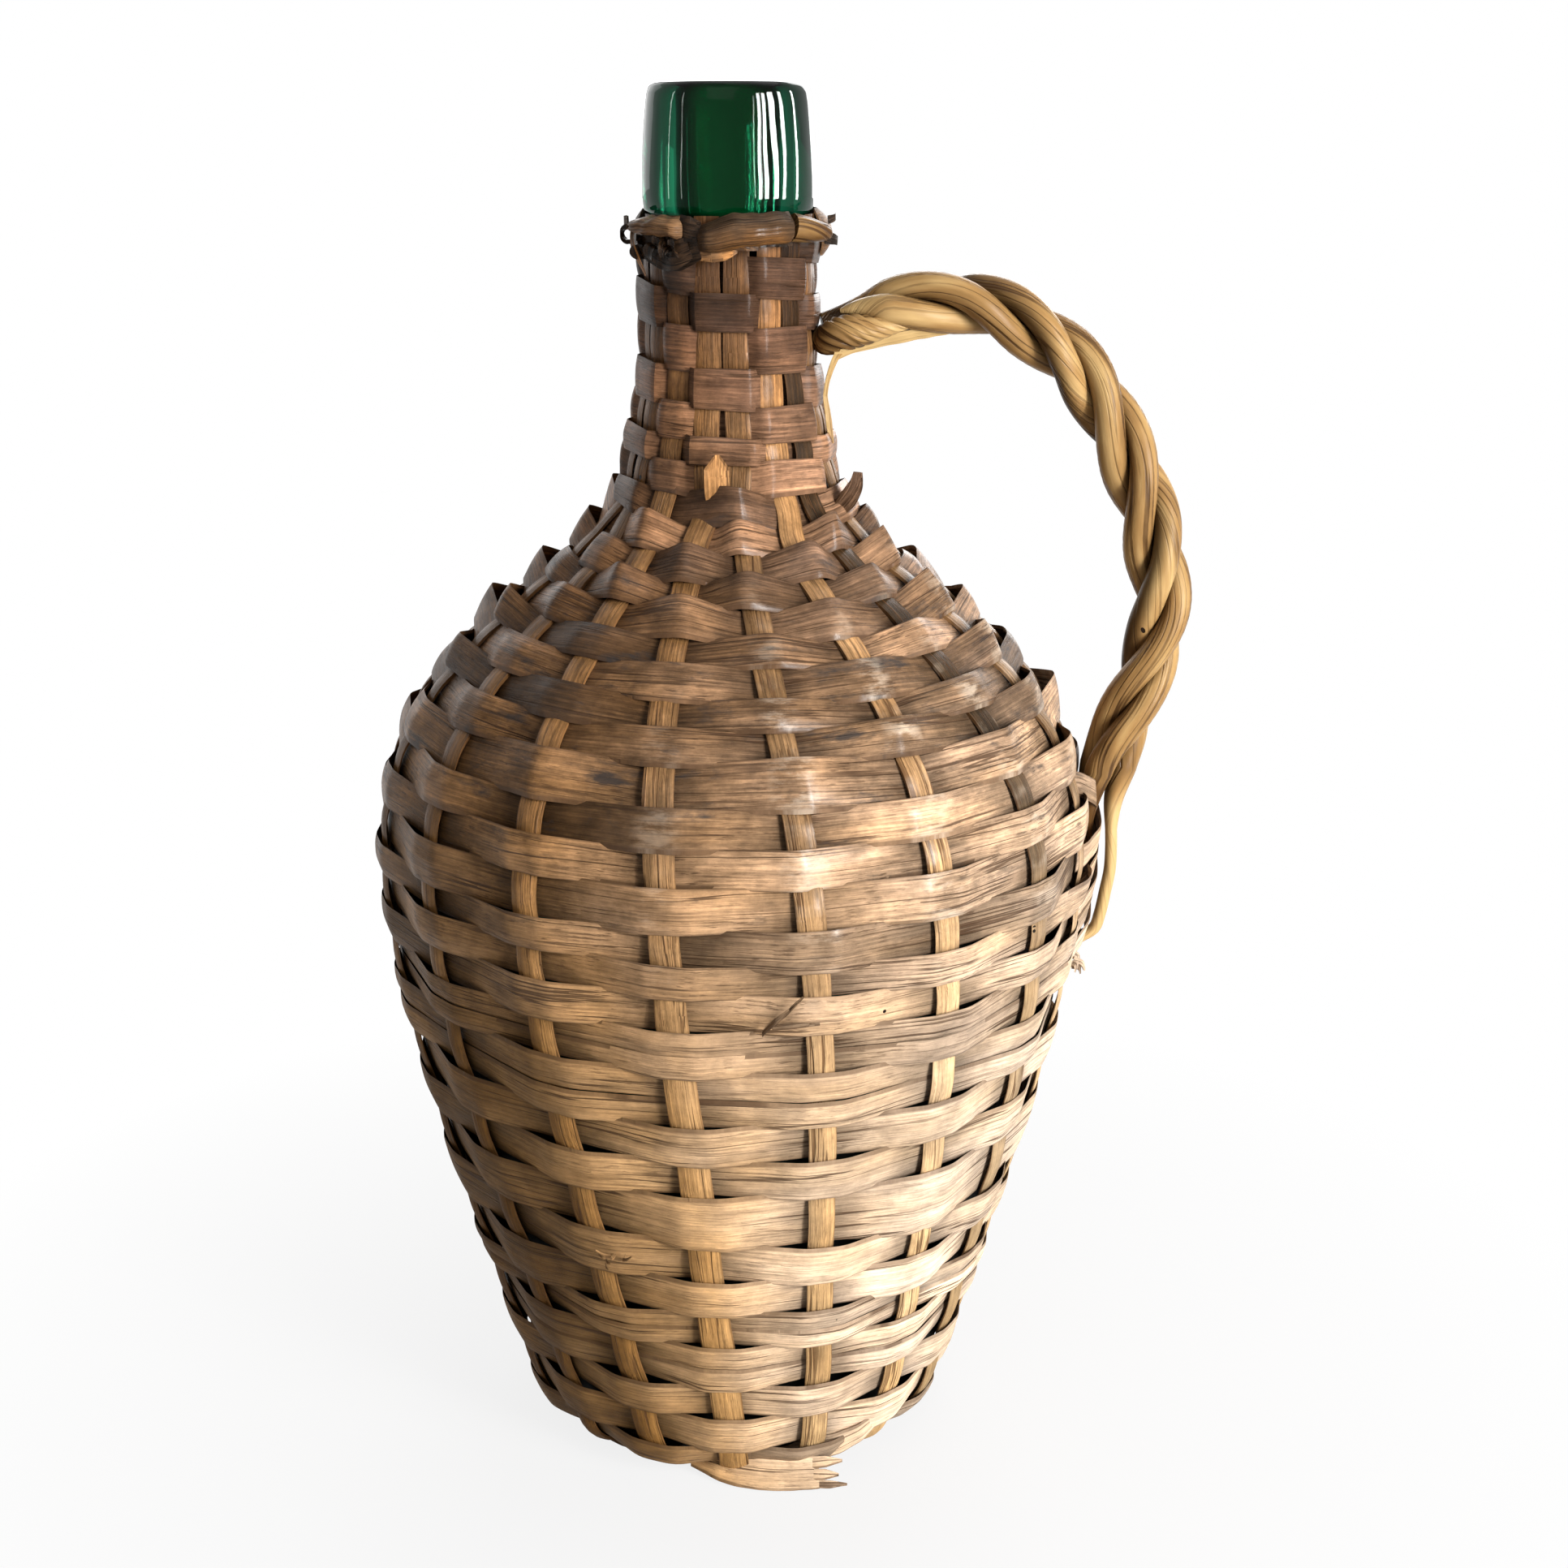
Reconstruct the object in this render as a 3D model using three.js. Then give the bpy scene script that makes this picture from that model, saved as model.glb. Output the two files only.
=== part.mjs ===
import * as THREE from "three";

// Wicker demijohn: a green glass bottle with a thick ring lip, covered from foot to neck in split-wood
// splints woven round upright splints, with a bowed handle of three twisted willow rods at one side.
// Millimetres, +Z up, origin on the floor under the middle of the base. The handle is on the +X side.

// Bottle
const HEIGHT = 455;
const LIP_RADIUS = 27.6;
const LIP_TOP_RADIUS = 24.8;
const LIP_HEIGHT = 39;
const LIP_ROUND = 5;
const LIP_EDGE = 2;
const BORE_RADIUS = 16.5;
const GLASS_WALL = 4;
const NECK_RADIUS = 22.4;
const NECK_LENGTH = 66;
const NECK_FLARE = 50;
const BODY_RADIUS = 115;
const BELLY_HEIGHT = 213;
const SHOULDER_SWELL = 75;
const BELLY_SWELL = 50;
const HEEL_RADIUS = 72;
const HEEL_HEIGHT = 11;
const HEEL_ROUND = 16;
const HEEL_FULLNESS = 0.6;
const BODY_LEAN = 16;
const LOWER_BODY_RUN = 60;

// Upright splints: each runs up one side, under the base and up the other side
const UPRIGHT_COUNT = 17;
const UPRIGHT_WIDTH = 9.5;
const UPRIGHT_NECK_WIDTH = 5.8;
const UPRIGHT_THICKNESS = 1.6;
const UPRIGHT_START = -104;
const UPRIGHT_LEAN = 15;
const BASE_CLIMB = 19;

// Woven splints: one spiral from the collar to the middle of the base, in lengths that end behind an upright
const WEAVER_THICKNESS = 1.2;
const ROWS = 36;
const NECK_ROWS = 8;
const UPPER_ROWS = 22;
const ROW_CHANGE = 2;
const ROW_WIDENING = 1.43;
const WOVEN_COUNT = 13;
const BASE_ROWS = 2;
const POINTED_SPACING = 3.2 * UPRIGHT_WIDTH;

// Collar of folded splints under the lip
const COLLAR_COUNT = 3;
const COLLAR_HEIGHT = 11;
const COLLAR_BULGE = 5.6;
const COLLAR_THICKNESS = 1.8;
const COLLAR_SPLIT = 8;

// Handle of three rods laid together
const ROD_COUNT = 3;
const ROD_RADIUS = 4.5;
const ROD_LAY = 83;
const LAY_RADIUS = 1.3 * ROD_RADIUS;
const HANDLE_REACH = 142.5;
const HANDLE_NECK_DROP = 35;
const HANDLE_CROWN_RISE = 7;
const HANDLE_BOW_DROP = 100;
const HANDLE_BOW = [[0.42, 0], [0.68, 0.15], [0.86, 0.43], [0.97, 0.75], [1, 1]];
const HANDLE_RETURN = 0.4;
const HANDLE_SEAT_RISE = 9;
const STRAIGHT_RISE = 8.5;
const HANDLE_TAIL = 54;
const TIE_WIDTH = 9;
const TIE_THICKNESS = 1.2;
const NECK_TIE_START = -60;
const NECK_TIE_END = 240;

// Clearances
const GLASS_GAP = 0.5;
const WEAVE_GAP = 0.5;
const ROW_GAP = 0.6;
const SEAT_GAP = 0.35;

// Facets
const BOTTLE_SIDES = 24;
const ROD_SIDES = 7;
const ROD_STEP = 7.5;
const COLLAR_STEPS = 8;
const NECK_TIE_STEPS = 12;
const FLATNESS = 0.35;
const OUTSIDE_FLATNESS = 0.42;
const INSIDE_FLATNESS = 2.1;
const BISECTIONS = 40;
const CROSSING_PASSES = 4;

// Finishes
const GLASS = { color: 0x0c2a16, roughness: 0.06 };
const UPRIGHT_WOOD = { color: 0x9a6a30, roughness: 0.6 };
const WOVEN_WOOD = { color: 0x8a6338, roughness: 0.65 };
const COLLAR_WOOD = { color: 0x6f5537, roughness: 0.7 };
const WILLOW = { color: 0xb98a3c, roughness: 0.4 };
const TIE_WOOD = { color: 0x8f6a38, roughness: 0.6 };

const DEGREE = Math.PI / 180;
const TURN = 2 * Math.PI;
const lerp = THREE.MathUtils.lerp;
const clamp = THREE.MathUtils.clamp;

// Levels of the three layers, measured outwards from the glass to the middle of each splint.
// The lift lets a flat splint bridge a whole column of uprights on the narrow neck.
const COLUMN_LIFT = 0.6;
const INNER_LEVEL = GLASS_GAP + WEAVER_THICKNESS / 2;
const UPRIGHT_LEVEL = INNER_LEVEL + (WEAVER_THICKNESS + UPRIGHT_THICKNESS) / 2 + WEAVE_GAP + COLUMN_LIFT;
const OUTER_LEVEL = UPRIGHT_LEVEL + (WEAVER_THICKNESS + UPRIGHT_THICKNESS) / 2 + WEAVE_GAP;
const COVER = OUTER_LEVEL + WEAVER_THICKNESS / 2;

// The uprights cross under the base in a stack, one layer each, inside the bottle's hollow foot
const HALF_SPACING = Math.PI / UPRIGHT_COUNT;
const CROSS_RADIUS = (UPRIGHT_WIDTH + WEAVE_GAP) / 2 / Math.tan(HALF_SPACING) + 2 * WEAVE_GAP;
const LAYERS = Math.ceil(UPRIGHT_COUNT / 2);
const LAYER_STEP = UPRIGHT_THICKNESS + WEAVE_GAP;
const STACK_TOP = LAYERS * LAYER_STEP;
const FOOT_Z = COVER;
const FOOT_INNER = CROSS_RADIUS + BASE_CLIMB;
const FOOT_OUTER = Math.max(HEEL_RADIUS - HEEL_ROUND, FOOT_INNER + 2 * WEAVE_GAP);
const LIP_Z = HEIGHT - LIP_HEIGHT;
const NECK_Z = LIP_Z - NECK_LENGTH;

// Outer line of the glass from the foot's inner edge up to the lip, as (radius, height)
const at = (radius, height) => new THREE.Vector2(radius, height);
const heel = at(HEEL_RADIUS, FOOT_Z + HEEL_HEIGHT);
const wall = at(Math.sin(BODY_LEAN * DEGREE), Math.cos(BODY_LEAN * DEGREE));
const belly = at(BODY_RADIUS, BELLY_HEIGHT);
const neckRoot = at(NECK_RADIUS, NECK_Z);
const meridian = new THREE.CurvePath();
meridian.add(new THREE.LineCurve(at(FOOT_INNER, FOOT_Z), at(FOOT_OUTER, FOOT_Z)));
meridian.add(new THREE.CubicBezierCurve(
  at(FOOT_OUTER, FOOT_Z),
  at(lerp(FOOT_OUTER, HEEL_RADIUS, HEEL_FULLNESS), FOOT_Z),
  heel.clone().addScaledVector(wall, -HEEL_HEIGHT / 2),
  heel,
));
meridian.add(new THREE.CubicBezierCurve(
  heel,
  heel.clone().addScaledVector(wall, LOWER_BODY_RUN),
  at(BODY_RADIUS, BELLY_HEIGHT - BELLY_SWELL),
  belly,
));
meridian.add(new THREE.CubicBezierCurve(
  belly,
  at(BODY_RADIUS, BELLY_HEIGHT + SHOULDER_SWELL),
  at(NECK_RADIUS, NECK_Z - NECK_FLARE),
  neckRoot,
));
meridian.add(new THREE.LineCurve(neckRoot, at(NECK_RADIUS, LIP_Z)));
const MERIDIAN_LENGTH = meridian.getLength();
const MERIDIAN_JOINTS = [0, ...meridian.getCurveLengths()];

// Point of the meridian at a distance from its start, moved outwards from the glass. A flat piece that
// spans an angle to both sides is moved out further, so that its middle keeps that distance.
function onGlass(distance, outwards = 0, halfSpan = 0) {
  const t = clamp(distance / MERIDIAN_LENGTH, 0, 1);
  const point = meridian.getPoint(t);
  const along = meridian.getTangent(t);
  const sag = (point.x + outwards) * (1 / Math.cos(halfSpan) - 1) * along.y;
  return at(point.x + along.y * (outwards + sag), point.y - along.x * (outwards + sag));
}

// Distances along the meridian from each stop to the next, closer together where it bends
function stationsThrough(stops, tolerance, outwards = 0) {
  const between = (from, to) => {
    const middle = (from + to) / 2;
    const thirds = [lerp(from, to, 1 / 3), middle, lerp(from, to, 2 / 3)];
    const start = onGlass(from, outwards);
    const end = onGlass(to, outwards);
    const bows = thirds.map((s) => {
      const chord = start.clone().lerp(end, (s - from) / (to - from));
      return chord.distanceTo(onGlass(s, outwards));
    });
    if (Math.max(...bows) < tolerance) return [from];
    return [...between(from, middle), ...between(middle, to)];
  };
  const sorted = [...stops].sort((a, b) => a - b);
  const stations = sorted.slice(0, -1).flatMap((from, i) => between(from, sorted[i + 1]));
  return [...stations, sorted[sorted.length - 1]];
}

// Distance along the meridian at which the glass reaches a height above the foot
function distanceAtHeight(height) {
  let low = FOOT_OUTER - FOOT_INNER;
  let high = MERIDIAN_LENGTH;
  for (let i = 0; i < BISECTIONS; i += 1) {
    const middle = (low + high) / 2;
    if (onGlass(middle).y < height) low = middle;
    else high = middle;
  }
  return low;
}

const polar = (angle, radius, height) =>
  new THREE.Vector3(radius * Math.cos(angle), radius * Math.sin(angle), height);

const demijohn = new THREE.Group();

function addPiece(name, geometry, finish) {
  const mesh = new THREE.Mesh(geometry, new THREE.MeshStandardMaterial(finish));
  mesh.name = name;
  demijohn.add(mesh);
}

// A flat strip bent along stations: place(i, across, through) gives each corner of its section,
// with across and through running from -0.5 to 0.5
function strip(stationCount, widthSteps, place) {
  const geometry = new THREE.BoxGeometry(1, 1, 1, stationCount - 1, widthSteps, 1);
  geometry.deleteAttribute("uv");
  const corners = geometry.attributes.position;
  for (let v = 0; v < corners.count; v += 1) {
    const station = Math.round((corners.getX(v) + 0.5) * (stationCount - 1));
    const point = place(station, corners.getY(v), corners.getZ(v));
    corners.setXYZ(v, point.x, point.y, point.z);
  }
  geometry.computeVertexNormals();
  return geometry;
}

// Glass bottle, turned from one closed outline: foot, wall, lip, bore, inside wall and kicked-up floor
function bottleGeometry() {
  const arc = (centre, radius, fromAngle, toAngle, steps) =>
    Array.from({ length: steps + 1 }, (_, i) => {
      const angle = lerp(fromAngle, toAngle, i / steps) * DEGREE;
      return at(centre.x + radius * Math.cos(angle), centre.y + radius * Math.sin(angle));
    });
  const kick = STACK_TOP + WEAVE_GAP + GLASS_GAP;
  const kickEdge = CROSS_RADIUS + GLASS_WALL / 2;
  const kickCrown = kick + GLASS_WALL / 2;
  const outside = stationsThrough(MERIDIAN_JOINTS, OUTSIDE_FLATNESS).map((s) => onGlass(s));
  const lip = [
    at(LIP_RADIUS - LIP_EDGE, LIP_Z),
    at(LIP_RADIUS, LIP_Z + LIP_EDGE),
    ...arc(at(LIP_TOP_RADIUS - LIP_ROUND, HEIGHT - LIP_ROUND), LIP_ROUND, 0, 90, 2),
    ...arc(at(BORE_RADIUS + LIP_EDGE, HEIGHT - LIP_EDGE), LIP_EDGE, 90, 180, 2),
    at(BORE_RADIUS, LIP_Z),
  ];
  const innerFloor = FOOT_Z + GLASS_WALL;
  const inside = stationsThrough(MERIDIAN_JOINTS, INSIDE_FLATNESS)
    .map((s) => onGlass(s, -GLASS_WALL))
    .filter((p) => p.y > innerFloor + GLASS_GAP && p.y < LIP_Z - GLASS_WALL)
    .reverse();
  const profile = [
    at(0, kickCrown),
    at(kickEdge, kick),
    ...outside,
    ...lip,
    ...inside,
    at(FOOT_OUTER, innerFloor),
    at(FOOT_INNER - GLASS_WALL / 2, innerFloor),
    at(kickEdge - GLASS_WALL / 2, kick + GLASS_WALL),
    at(0, kickCrown + GLASS_WALL),
  ];
  return new THREE.LatheGeometry(profile, BOTTLE_SIDES).rotateX(Math.PI / 2);
}

// Spiral of the weave. Turn 0 starts under the collar; the distances fall towards the base.
const COLLAR_Z = LIP_Z - COLLAR_HEIGHT - SEAT_GAP;
const WEAVE_TOP = distanceAtHeight(COLLAR_Z - ROW_GAP);

// The rows widen at the belly, and together they reach from the collar to the foot's inner edge
const WIDENING_TURN = UPPER_ROWS + ROW_CHANGE / 2;
const UPPER_ROW = WEAVE_TOP / (WIDENING_TURN + ROW_WIDENING * (ROWS - WIDENING_TURN));
const LOWER_ROW = ROW_WIDENING * UPPER_ROW;

function rowEdge(turn) {
  const past = Math.max(turn - UPPER_ROWS, 0);
  const widened = past < ROW_CHANGE ? past ** 2 / (2 * ROW_CHANGE) : past - ROW_CHANGE / 2;
  return WEAVE_TOP - UPPER_ROW * turn - (LOWER_ROW - UPPER_ROW) * widened;
}

// Uprights stand in pairs on the neck and fan out below it
const PAIR_END = (rowEdge(NECK_ROWS - 1) + rowEdge(NECK_ROWS)) / 2;
const FAN_START = (rowEdge(NECK_ROWS) + rowEdge(NECK_ROWS + 1)) / 2;

function uprightWidth(distance) {
  const taper = clamp((distance - FAN_START / 2) / (PAIR_END - FAN_START / 2), 0, 1);
  return lerp(UPRIGHT_WIDTH, UPRIGHT_NECK_WIDTH, taper);
}

const uprightRadius = (distance) => onGlass(distance, UPRIGHT_LEVEL).x;

function uprightAngle(index, distance) {
  const spacing = 2 * HALF_SPACING;
  const lean = UPRIGHT_LEAN * DEGREE * (1 - Math.min(distance / FAN_START, 1));
  const fanned = UPRIGHT_START * DEGREE + index * spacing + lean;
  const single = index === UPRIGHT_COUNT - 1 && UPRIGHT_COUNT % 2 === 1;
  if (single) return fanned;
  const side = index % 2 === 0 ? 1 : -1;
  const beside = Math.atan((uprightWidth(distance) + WEAVE_GAP) / 2 / uprightRadius(distance));
  const paired = fanned + side * (spacing / 2 - beside);
  return lerp(fanned, paired, clamp((distance - FAN_START) / (PAIR_END - FAN_START), 0, 1));
}

// Columns that a row passes: single uprights on the body, pairs of them on the neck
function rowColumns(row) {
  const uprights = Array.from({ length: UPRIGHT_COUNT }, (_, i) => i);
  if (row >= NECK_ROWS) return uprights.map((i) => [i]);
  return uprights.filter((i) => i % 2 === 0).map((i) => (i + 1 < UPRIGHT_COUNT ? [i, i + 1] : [i]));
}

// Turn at which the spiral starts to cross a column, and turn at which it is past it
function crossing(row, column) {
  const reach = (side) => {
    let turn = row;
    for (let pass = 0; pass < CROSSING_PASSES; pass += 1) {
      const edges = [rowEdge(turn), rowEdge(turn + 1)].map((s) => clamp(s, 0, MERIDIAN_LENGTH));
      const angles = [];
      for (const distance of edges) {
        for (const index of column) {
          const half = uprightWidth(distance) / 2 + WEAVE_GAP;
          const aside = Math.atan(half / uprightRadius(distance));
          angles.push(uprightAngle(index, distance) + side * aside);
        }
      }
      const angle = side < 0 ? Math.min(...angles) : Math.max(...angles);
      turn = row + (angle - UPRIGHT_START * DEGREE) / TURN;
    }
    return turn;
  };
  return { enter: reach(-1), leave: reach(1) };
}

// All crossings of the spiral. The last row narrows against the foot's inner edge and stops at half width.
const crossings = [];
for (let row = 0; row < ROWS; row += 1) {
  for (const column of rowColumns(row)) crossings.push(crossing(row, column));
}
while (crossings[crossings.length - 1].leave > ROWS - 0.5) crossings.pop();

// A woven splint from one crossing to another. It starts and ends behind an upright and goes over
// every second one; bows of the meridian decide how many facets it has across its width.
function weaverGeometry(first, last) {
  const stations = [];
  for (let c = first; c <= last; c += 1) {
    const { enter, leave } = crossings[c];
    const middle = (enter + leave) / 2;
    const around = uprightRadius((rowEdge(middle) + rowEdge(middle + 1)) / 2) * TURN;
    const slip = ROW_GAP / around;
    const behind = (c - first) % 2 === 0;
    const pointed = behind && around / UPRIGHT_COUNT > POINTED_SPACING;
    let turns = pointed ? [middle] : [enter, leave];
    if (c === first) turns = [middle + slip, ...turns.slice(1)];
    if (c === last) turns = [...turns.slice(0, -1), middle - slip];
    const level = behind ? INNER_LEVEL : OUTER_LEVEL;
    for (const turn of turns) stations.push({ turn, level, halfSpan: Math.abs(turn - middle) * TURN });
  }
  const top = rowEdge(stations[0].turn);
  const bottom = Math.max(rowEdge(stations[stations.length - 1].turn + 1), 0);
  const row = stations[0].turn < UPPER_ROWS ? UPPER_ROW : LOWER_ROW;
  let bow = 0;
  for (let s = bottom; s + row < top; s += row / 2) {
    const chord = onGlass(s).lerp(onGlass(s + row), 0.5);
    bow = Math.max(bow, chord.distanceTo(onGlass(s + row / 2)));
  }
  const widthSteps = Math.max(1, Math.round(Math.sqrt((2 * bow) / FLATNESS)));
  return strip(stations.length, widthSteps, (i, across, through) => {
    const { turn, level, halfSpan } = stations[i];
    const lower = Math.max(rowEdge(turn + 1) + ROW_GAP, 0);
    const distance = lerp(lower, rowEdge(turn), across + 0.5);
    const point = onGlass(distance, level + through * WEAVER_THICKNESS, halfSpan);
    return polar(turn * TURN + UPRIGHT_START * DEGREE, point.x, point.y);
  });
}

// One leg of an upright from the collar down to the middle of the base, on its layer of the crossing
const UPRIGHT_TOP = distanceAtHeight(LIP_Z - SEAT_GAP);

function uprightLeg(index, layer) {
  const stops = [...MERIDIAN_JOINTS.slice(0, -1), FAN_START, PAIR_END, UPRIGHT_TOP];
  const leg = stationsThrough(stops, FLATNESS, UPRIGHT_LEVEL).map((distance) => {
    const point = onGlass(distance, UPRIGHT_LEVEL);
    const outer = onGlass(distance, UPRIGHT_LEVEL + 1);
    return {
      angle: uprightAngle(index, distance),
      radius: point.x,
      height: point.y,
      width: uprightWidth(distance),
      out: outer.sub(point),
    };
  });
  const down = at(0, -1);
  const crossHeight = UPRIGHT_THICKNESS / 2 + layer * LAYER_STEP;
  const angle = uprightAngle(index, 0);
  leg.unshift({ angle, radius: CROSS_RADIUS, height: crossHeight, width: UPRIGHT_WIDTH, out: down });
  return leg.reverse();
}

function uprightGeometry(index, opposite, layer) {
  const coming = uprightLeg(index, layer).map((s) => ({ ...s, side: 1 }));
  const crossHeight = UPRIGHT_THICKNESS / 2 + layer * LAYER_STEP;
  const last = coming[coming.length - 1];
  const tail = { ...last, radius: -CROSS_RADIUS / 2, height: crossHeight };
  const going = opposite === null
    ? [tail]
    : uprightLeg(opposite, layer).reverse().map((s) => ({ ...s, side: -1 }));
  const stations = [...coming, ...going];
  return strip(stations.length, 1, (i, across, through) => {
    const { angle, radius, height, width, out, side } = stations[i];
    const thick = through * UPRIGHT_THICKNESS;
    const point = polar(angle, radius + out.x * thick, height + out.y * thick);
    const sideways = new THREE.Vector3(-Math.sin(angle), Math.cos(angle), 0);
    return point.addScaledVector(sideways, across * width * side);
  });
}

// Folded border splint round the top of the cover: a band that bulges out under the lip
function collarGeometry(index) {
  const spread = TURN / COLLAR_COUNT;
  const inner = NECK_RADIUS + COVER - WEAVER_THICKNESS + COLLAR_THICKNESS / 2;
  const gap = COLLAR_SPLIT / 2 / inner;
  const start = UPRIGHT_START * DEGREE + index * spread + gap;
  return strip(COLLAR_STEPS + 1, 2, (i, across, through) => {
    const angle = lerp(start, start + spread - 2 * gap, i / COLLAR_STEPS);
    const swell = COLLAR_BULGE * (1 - 4 * across ** 2);
    const radius = inner + swell + through * COLLAR_THICKNESS;
    return polar(angle, radius, COLLAR_Z + (across + 0.5) * COLLAR_HEIGHT);
  });
}

// Middle line of the handle in the XZ plane: out of the neck, over the crown, round the bow,
// in to the body and down along the cover
const HANDLE_RADIUS = LAY_RADIUS + ROD_RADIUS;
const PAIR_HALF_ANGLE = Math.atan((UPRIGHT_NECK_WIDTH + 2 * WEAVE_GAP) / (NECK_RADIUS + UPRIGHT_LEVEL));
const NECK_FACE = (NECK_RADIUS + COVER) / Math.cos(PAIR_HALF_ANGLE) + SEAT_GAP;
const coverRadius = (height) => onGlass(distanceAtHeight(height), COVER).x;
const seatLine = (height) => coverRadius(height) + ROD_RADIUS + LAY_RADIUS / 2 + 3 * SEAT_GAP;

const NECK_END_Z = LIP_Z - HANDLE_NECK_DROP;
const SEAT_Z = BELLY_HEIGHT + HANDLE_SEAT_RISE;

function handleLine() {
  const reach = HANDLE_REACH - NECK_FACE;
  const crown = NECK_END_Z + HANDLE_CROWN_RISE;
  const bow = crown - HANDLE_BOW_DROP;
  const onCover = (drop) => [seatLine(SEAT_Z - drop), SEAT_Z - drop];
  const points = [
    [NECK_FACE, NECK_END_Z],
    [NECK_FACE + ROD_RADIUS + TIE_WIDTH, NECK_END_Z],
    ...HANDLE_BOW.map(([out, down]) => [NECK_FACE + out * reach, crown - down * HANDLE_BOW_DROP]),
    [lerp(HANDLE_REACH, seatLine(SEAT_Z), HANDLE_RETURN), (bow + SEAT_Z) / 2],
    onCover(0),
    onCover(HANDLE_TAIL / 2),
    onCover(HANDLE_TAIL),
  ];
  return new THREE.CatmullRomCurve3(points.map(([x, z]) => new THREE.Vector3(x, 0, z)));
}

const handle = handleLine();
const HANDLE_LENGTH = handle.getLength();

// Length of the handle's middle line from the neck down to a height on its outer side
function handleLengthAt(height) {
  let low = HANDLE_LENGTH / 2;
  let high = HANDLE_LENGTH;
  for (let i = 0; i < BISECTIONS; i += 1) {
    const middle = (low + high) / 2;
    if (handle.getPointAt(middle / HANDLE_LENGTH).z > height) low = middle;
    else high = middle;
  }
  return low;
}

const TWIST_END = handleLengthAt(SEAT_Z + STRAIGHT_RISE);
const TWIST_EASE = 2 * HANDLE_RADIUS;

// One rod: it winds round the middle line, easing into the twist at the neck and out of it at the body,
// where the first rod lies on top and the other two lie side by side on the cover
class RodCurve extends THREE.Curve {
  constructor(index, length) {
    super();
    this.phase = (index / ROD_COUNT) * TURN;
    this.length = length;
  }

  getPoint(t, target = new THREE.Vector3()) {
    const along = t * this.length;
    const left = Math.max(TWIST_END - along, 0);
    const easedEnd = left < TWIST_EASE ? left ** 2 / (2 * TWIST_EASE) : left - TWIST_EASE / 2;
    const easedStart = along < TWIST_EASE ? (TWIST_EASE - along) ** 2 / (2 * TWIST_EASE) : 0;
    const wound = this.phase - ((easedEnd - easedStart) / ROD_LAY) * TURN;
    const u = along / HANDLE_LENGTH;
    const tangent = handle.getTangentAt(u);
    const outwards = new THREE.Vector3(-tangent.z, 0, tangent.x);
    target.copy(handle.getPointAt(u));
    target.addScaledVector(outwards, LAY_RADIUS * Math.cos(wound));
    target.y -= LAY_RADIUS * Math.sin(wound);
    return target;
  }
}

function rodGeometry(index) {
  const section = new THREE.Shape();
  for (let i = 0; i < ROD_SIDES; i += 1) {
    const angle = (i / ROD_SIDES) * TURN;
    const corner = at(ROD_RADIUS * Math.cos(angle), ROD_RADIUS * Math.sin(angle));
    if (i === 0) section.moveTo(corner.x, corner.y);
    else section.lineTo(corner.x, corner.y);
  }
  section.closePath();
  const length = index === 0 ? TWIST_END : HANDLE_LENGTH;
  const steps = Math.round(length / ROD_STEP);
  const extrudePath = new RodCurve(index, length);
  return new THREE.ExtrudeGeometry(section, { steps, bevelEnabled: false, extrudePath });
}

// A tie: a strip bent over the rods, with both ends laid on the cover. The section is given as
// points (outwards, sideways) from the cover to the middle of the strip.
function tieGeometry(section, place) {
  return strip(section.length, 1, (i, across, through) => {
    const before = section[Math.max(i - 1, 0)];
    const after = section[Math.min(i + 1, section.length - 1)];
    const along = at(after.x - before.x, after.y - before.y).normalize();
    const point = section[i].clone();
    point.x += along.y * through * TIE_THICKNESS;
    point.y -= along.x * through * TIE_THICKNESS;
    return place(point, across * TIE_WIDTH);
  });
}

// Lower tie, level round the body under the end of the top rod
function lowerTieGeometry() {
  const height = SEAT_Z - (ROD_RADIUS + TIE_WIDTH) / 2;
  const lift = 2 * ROD_RADIUS + 4 * SEAT_GAP + TIE_THICKNESS / 2;
  const half = LAY_RADIUS * Math.sin(TURN / ROD_COUNT) + ROD_RADIUS + SEAT_GAP + TIE_THICKNESS;
  const base = TIE_THICKNESS / 2 + SEAT_GAP;
  const section = [
    at(base, -half - 2 * ROD_RADIUS),
    at(base, -half - ROD_RADIUS / 2),
    at(lift - ROD_RADIUS, -half),
    at(lift, -half + ROD_RADIUS / 2),
    at(lift, half - ROD_RADIUS / 2),
    at(lift - ROD_RADIUS, half),
    at(base, half + ROD_RADIUS / 2),
    at(base, half + 2 * ROD_RADIUS),
  ];
  return tieGeometry(section, (point, across) => {
    const radius = coverRadius(height + across) / Math.cos(HALF_SPACING / 2) + point.x;
    return polar(point.y / radius, radius, height + across);
  });
}

// Neck tie, a strip wound round the rods where they leave the neck
function neckTieGeometry() {
  const ring = HANDLE_RADIUS + SEAT_GAP + TIE_THICKNESS / 2;
  const section = Array.from({ length: NECK_TIE_STEPS + 1 }, (_, i) => {
    const angle = lerp(NECK_TIE_START, NECK_TIE_END, i / NECK_TIE_STEPS) * DEGREE;
    return at(ring * Math.sin(angle), ring * Math.cos(angle));
  });
  const middle = NECK_FACE + TIE_WIDTH / 2 + SEAT_GAP;
  return tieGeometry(section, (point, across) =>
    new THREE.Vector3(middle - across, point.y, NECK_END_Z + point.x));
}

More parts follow.
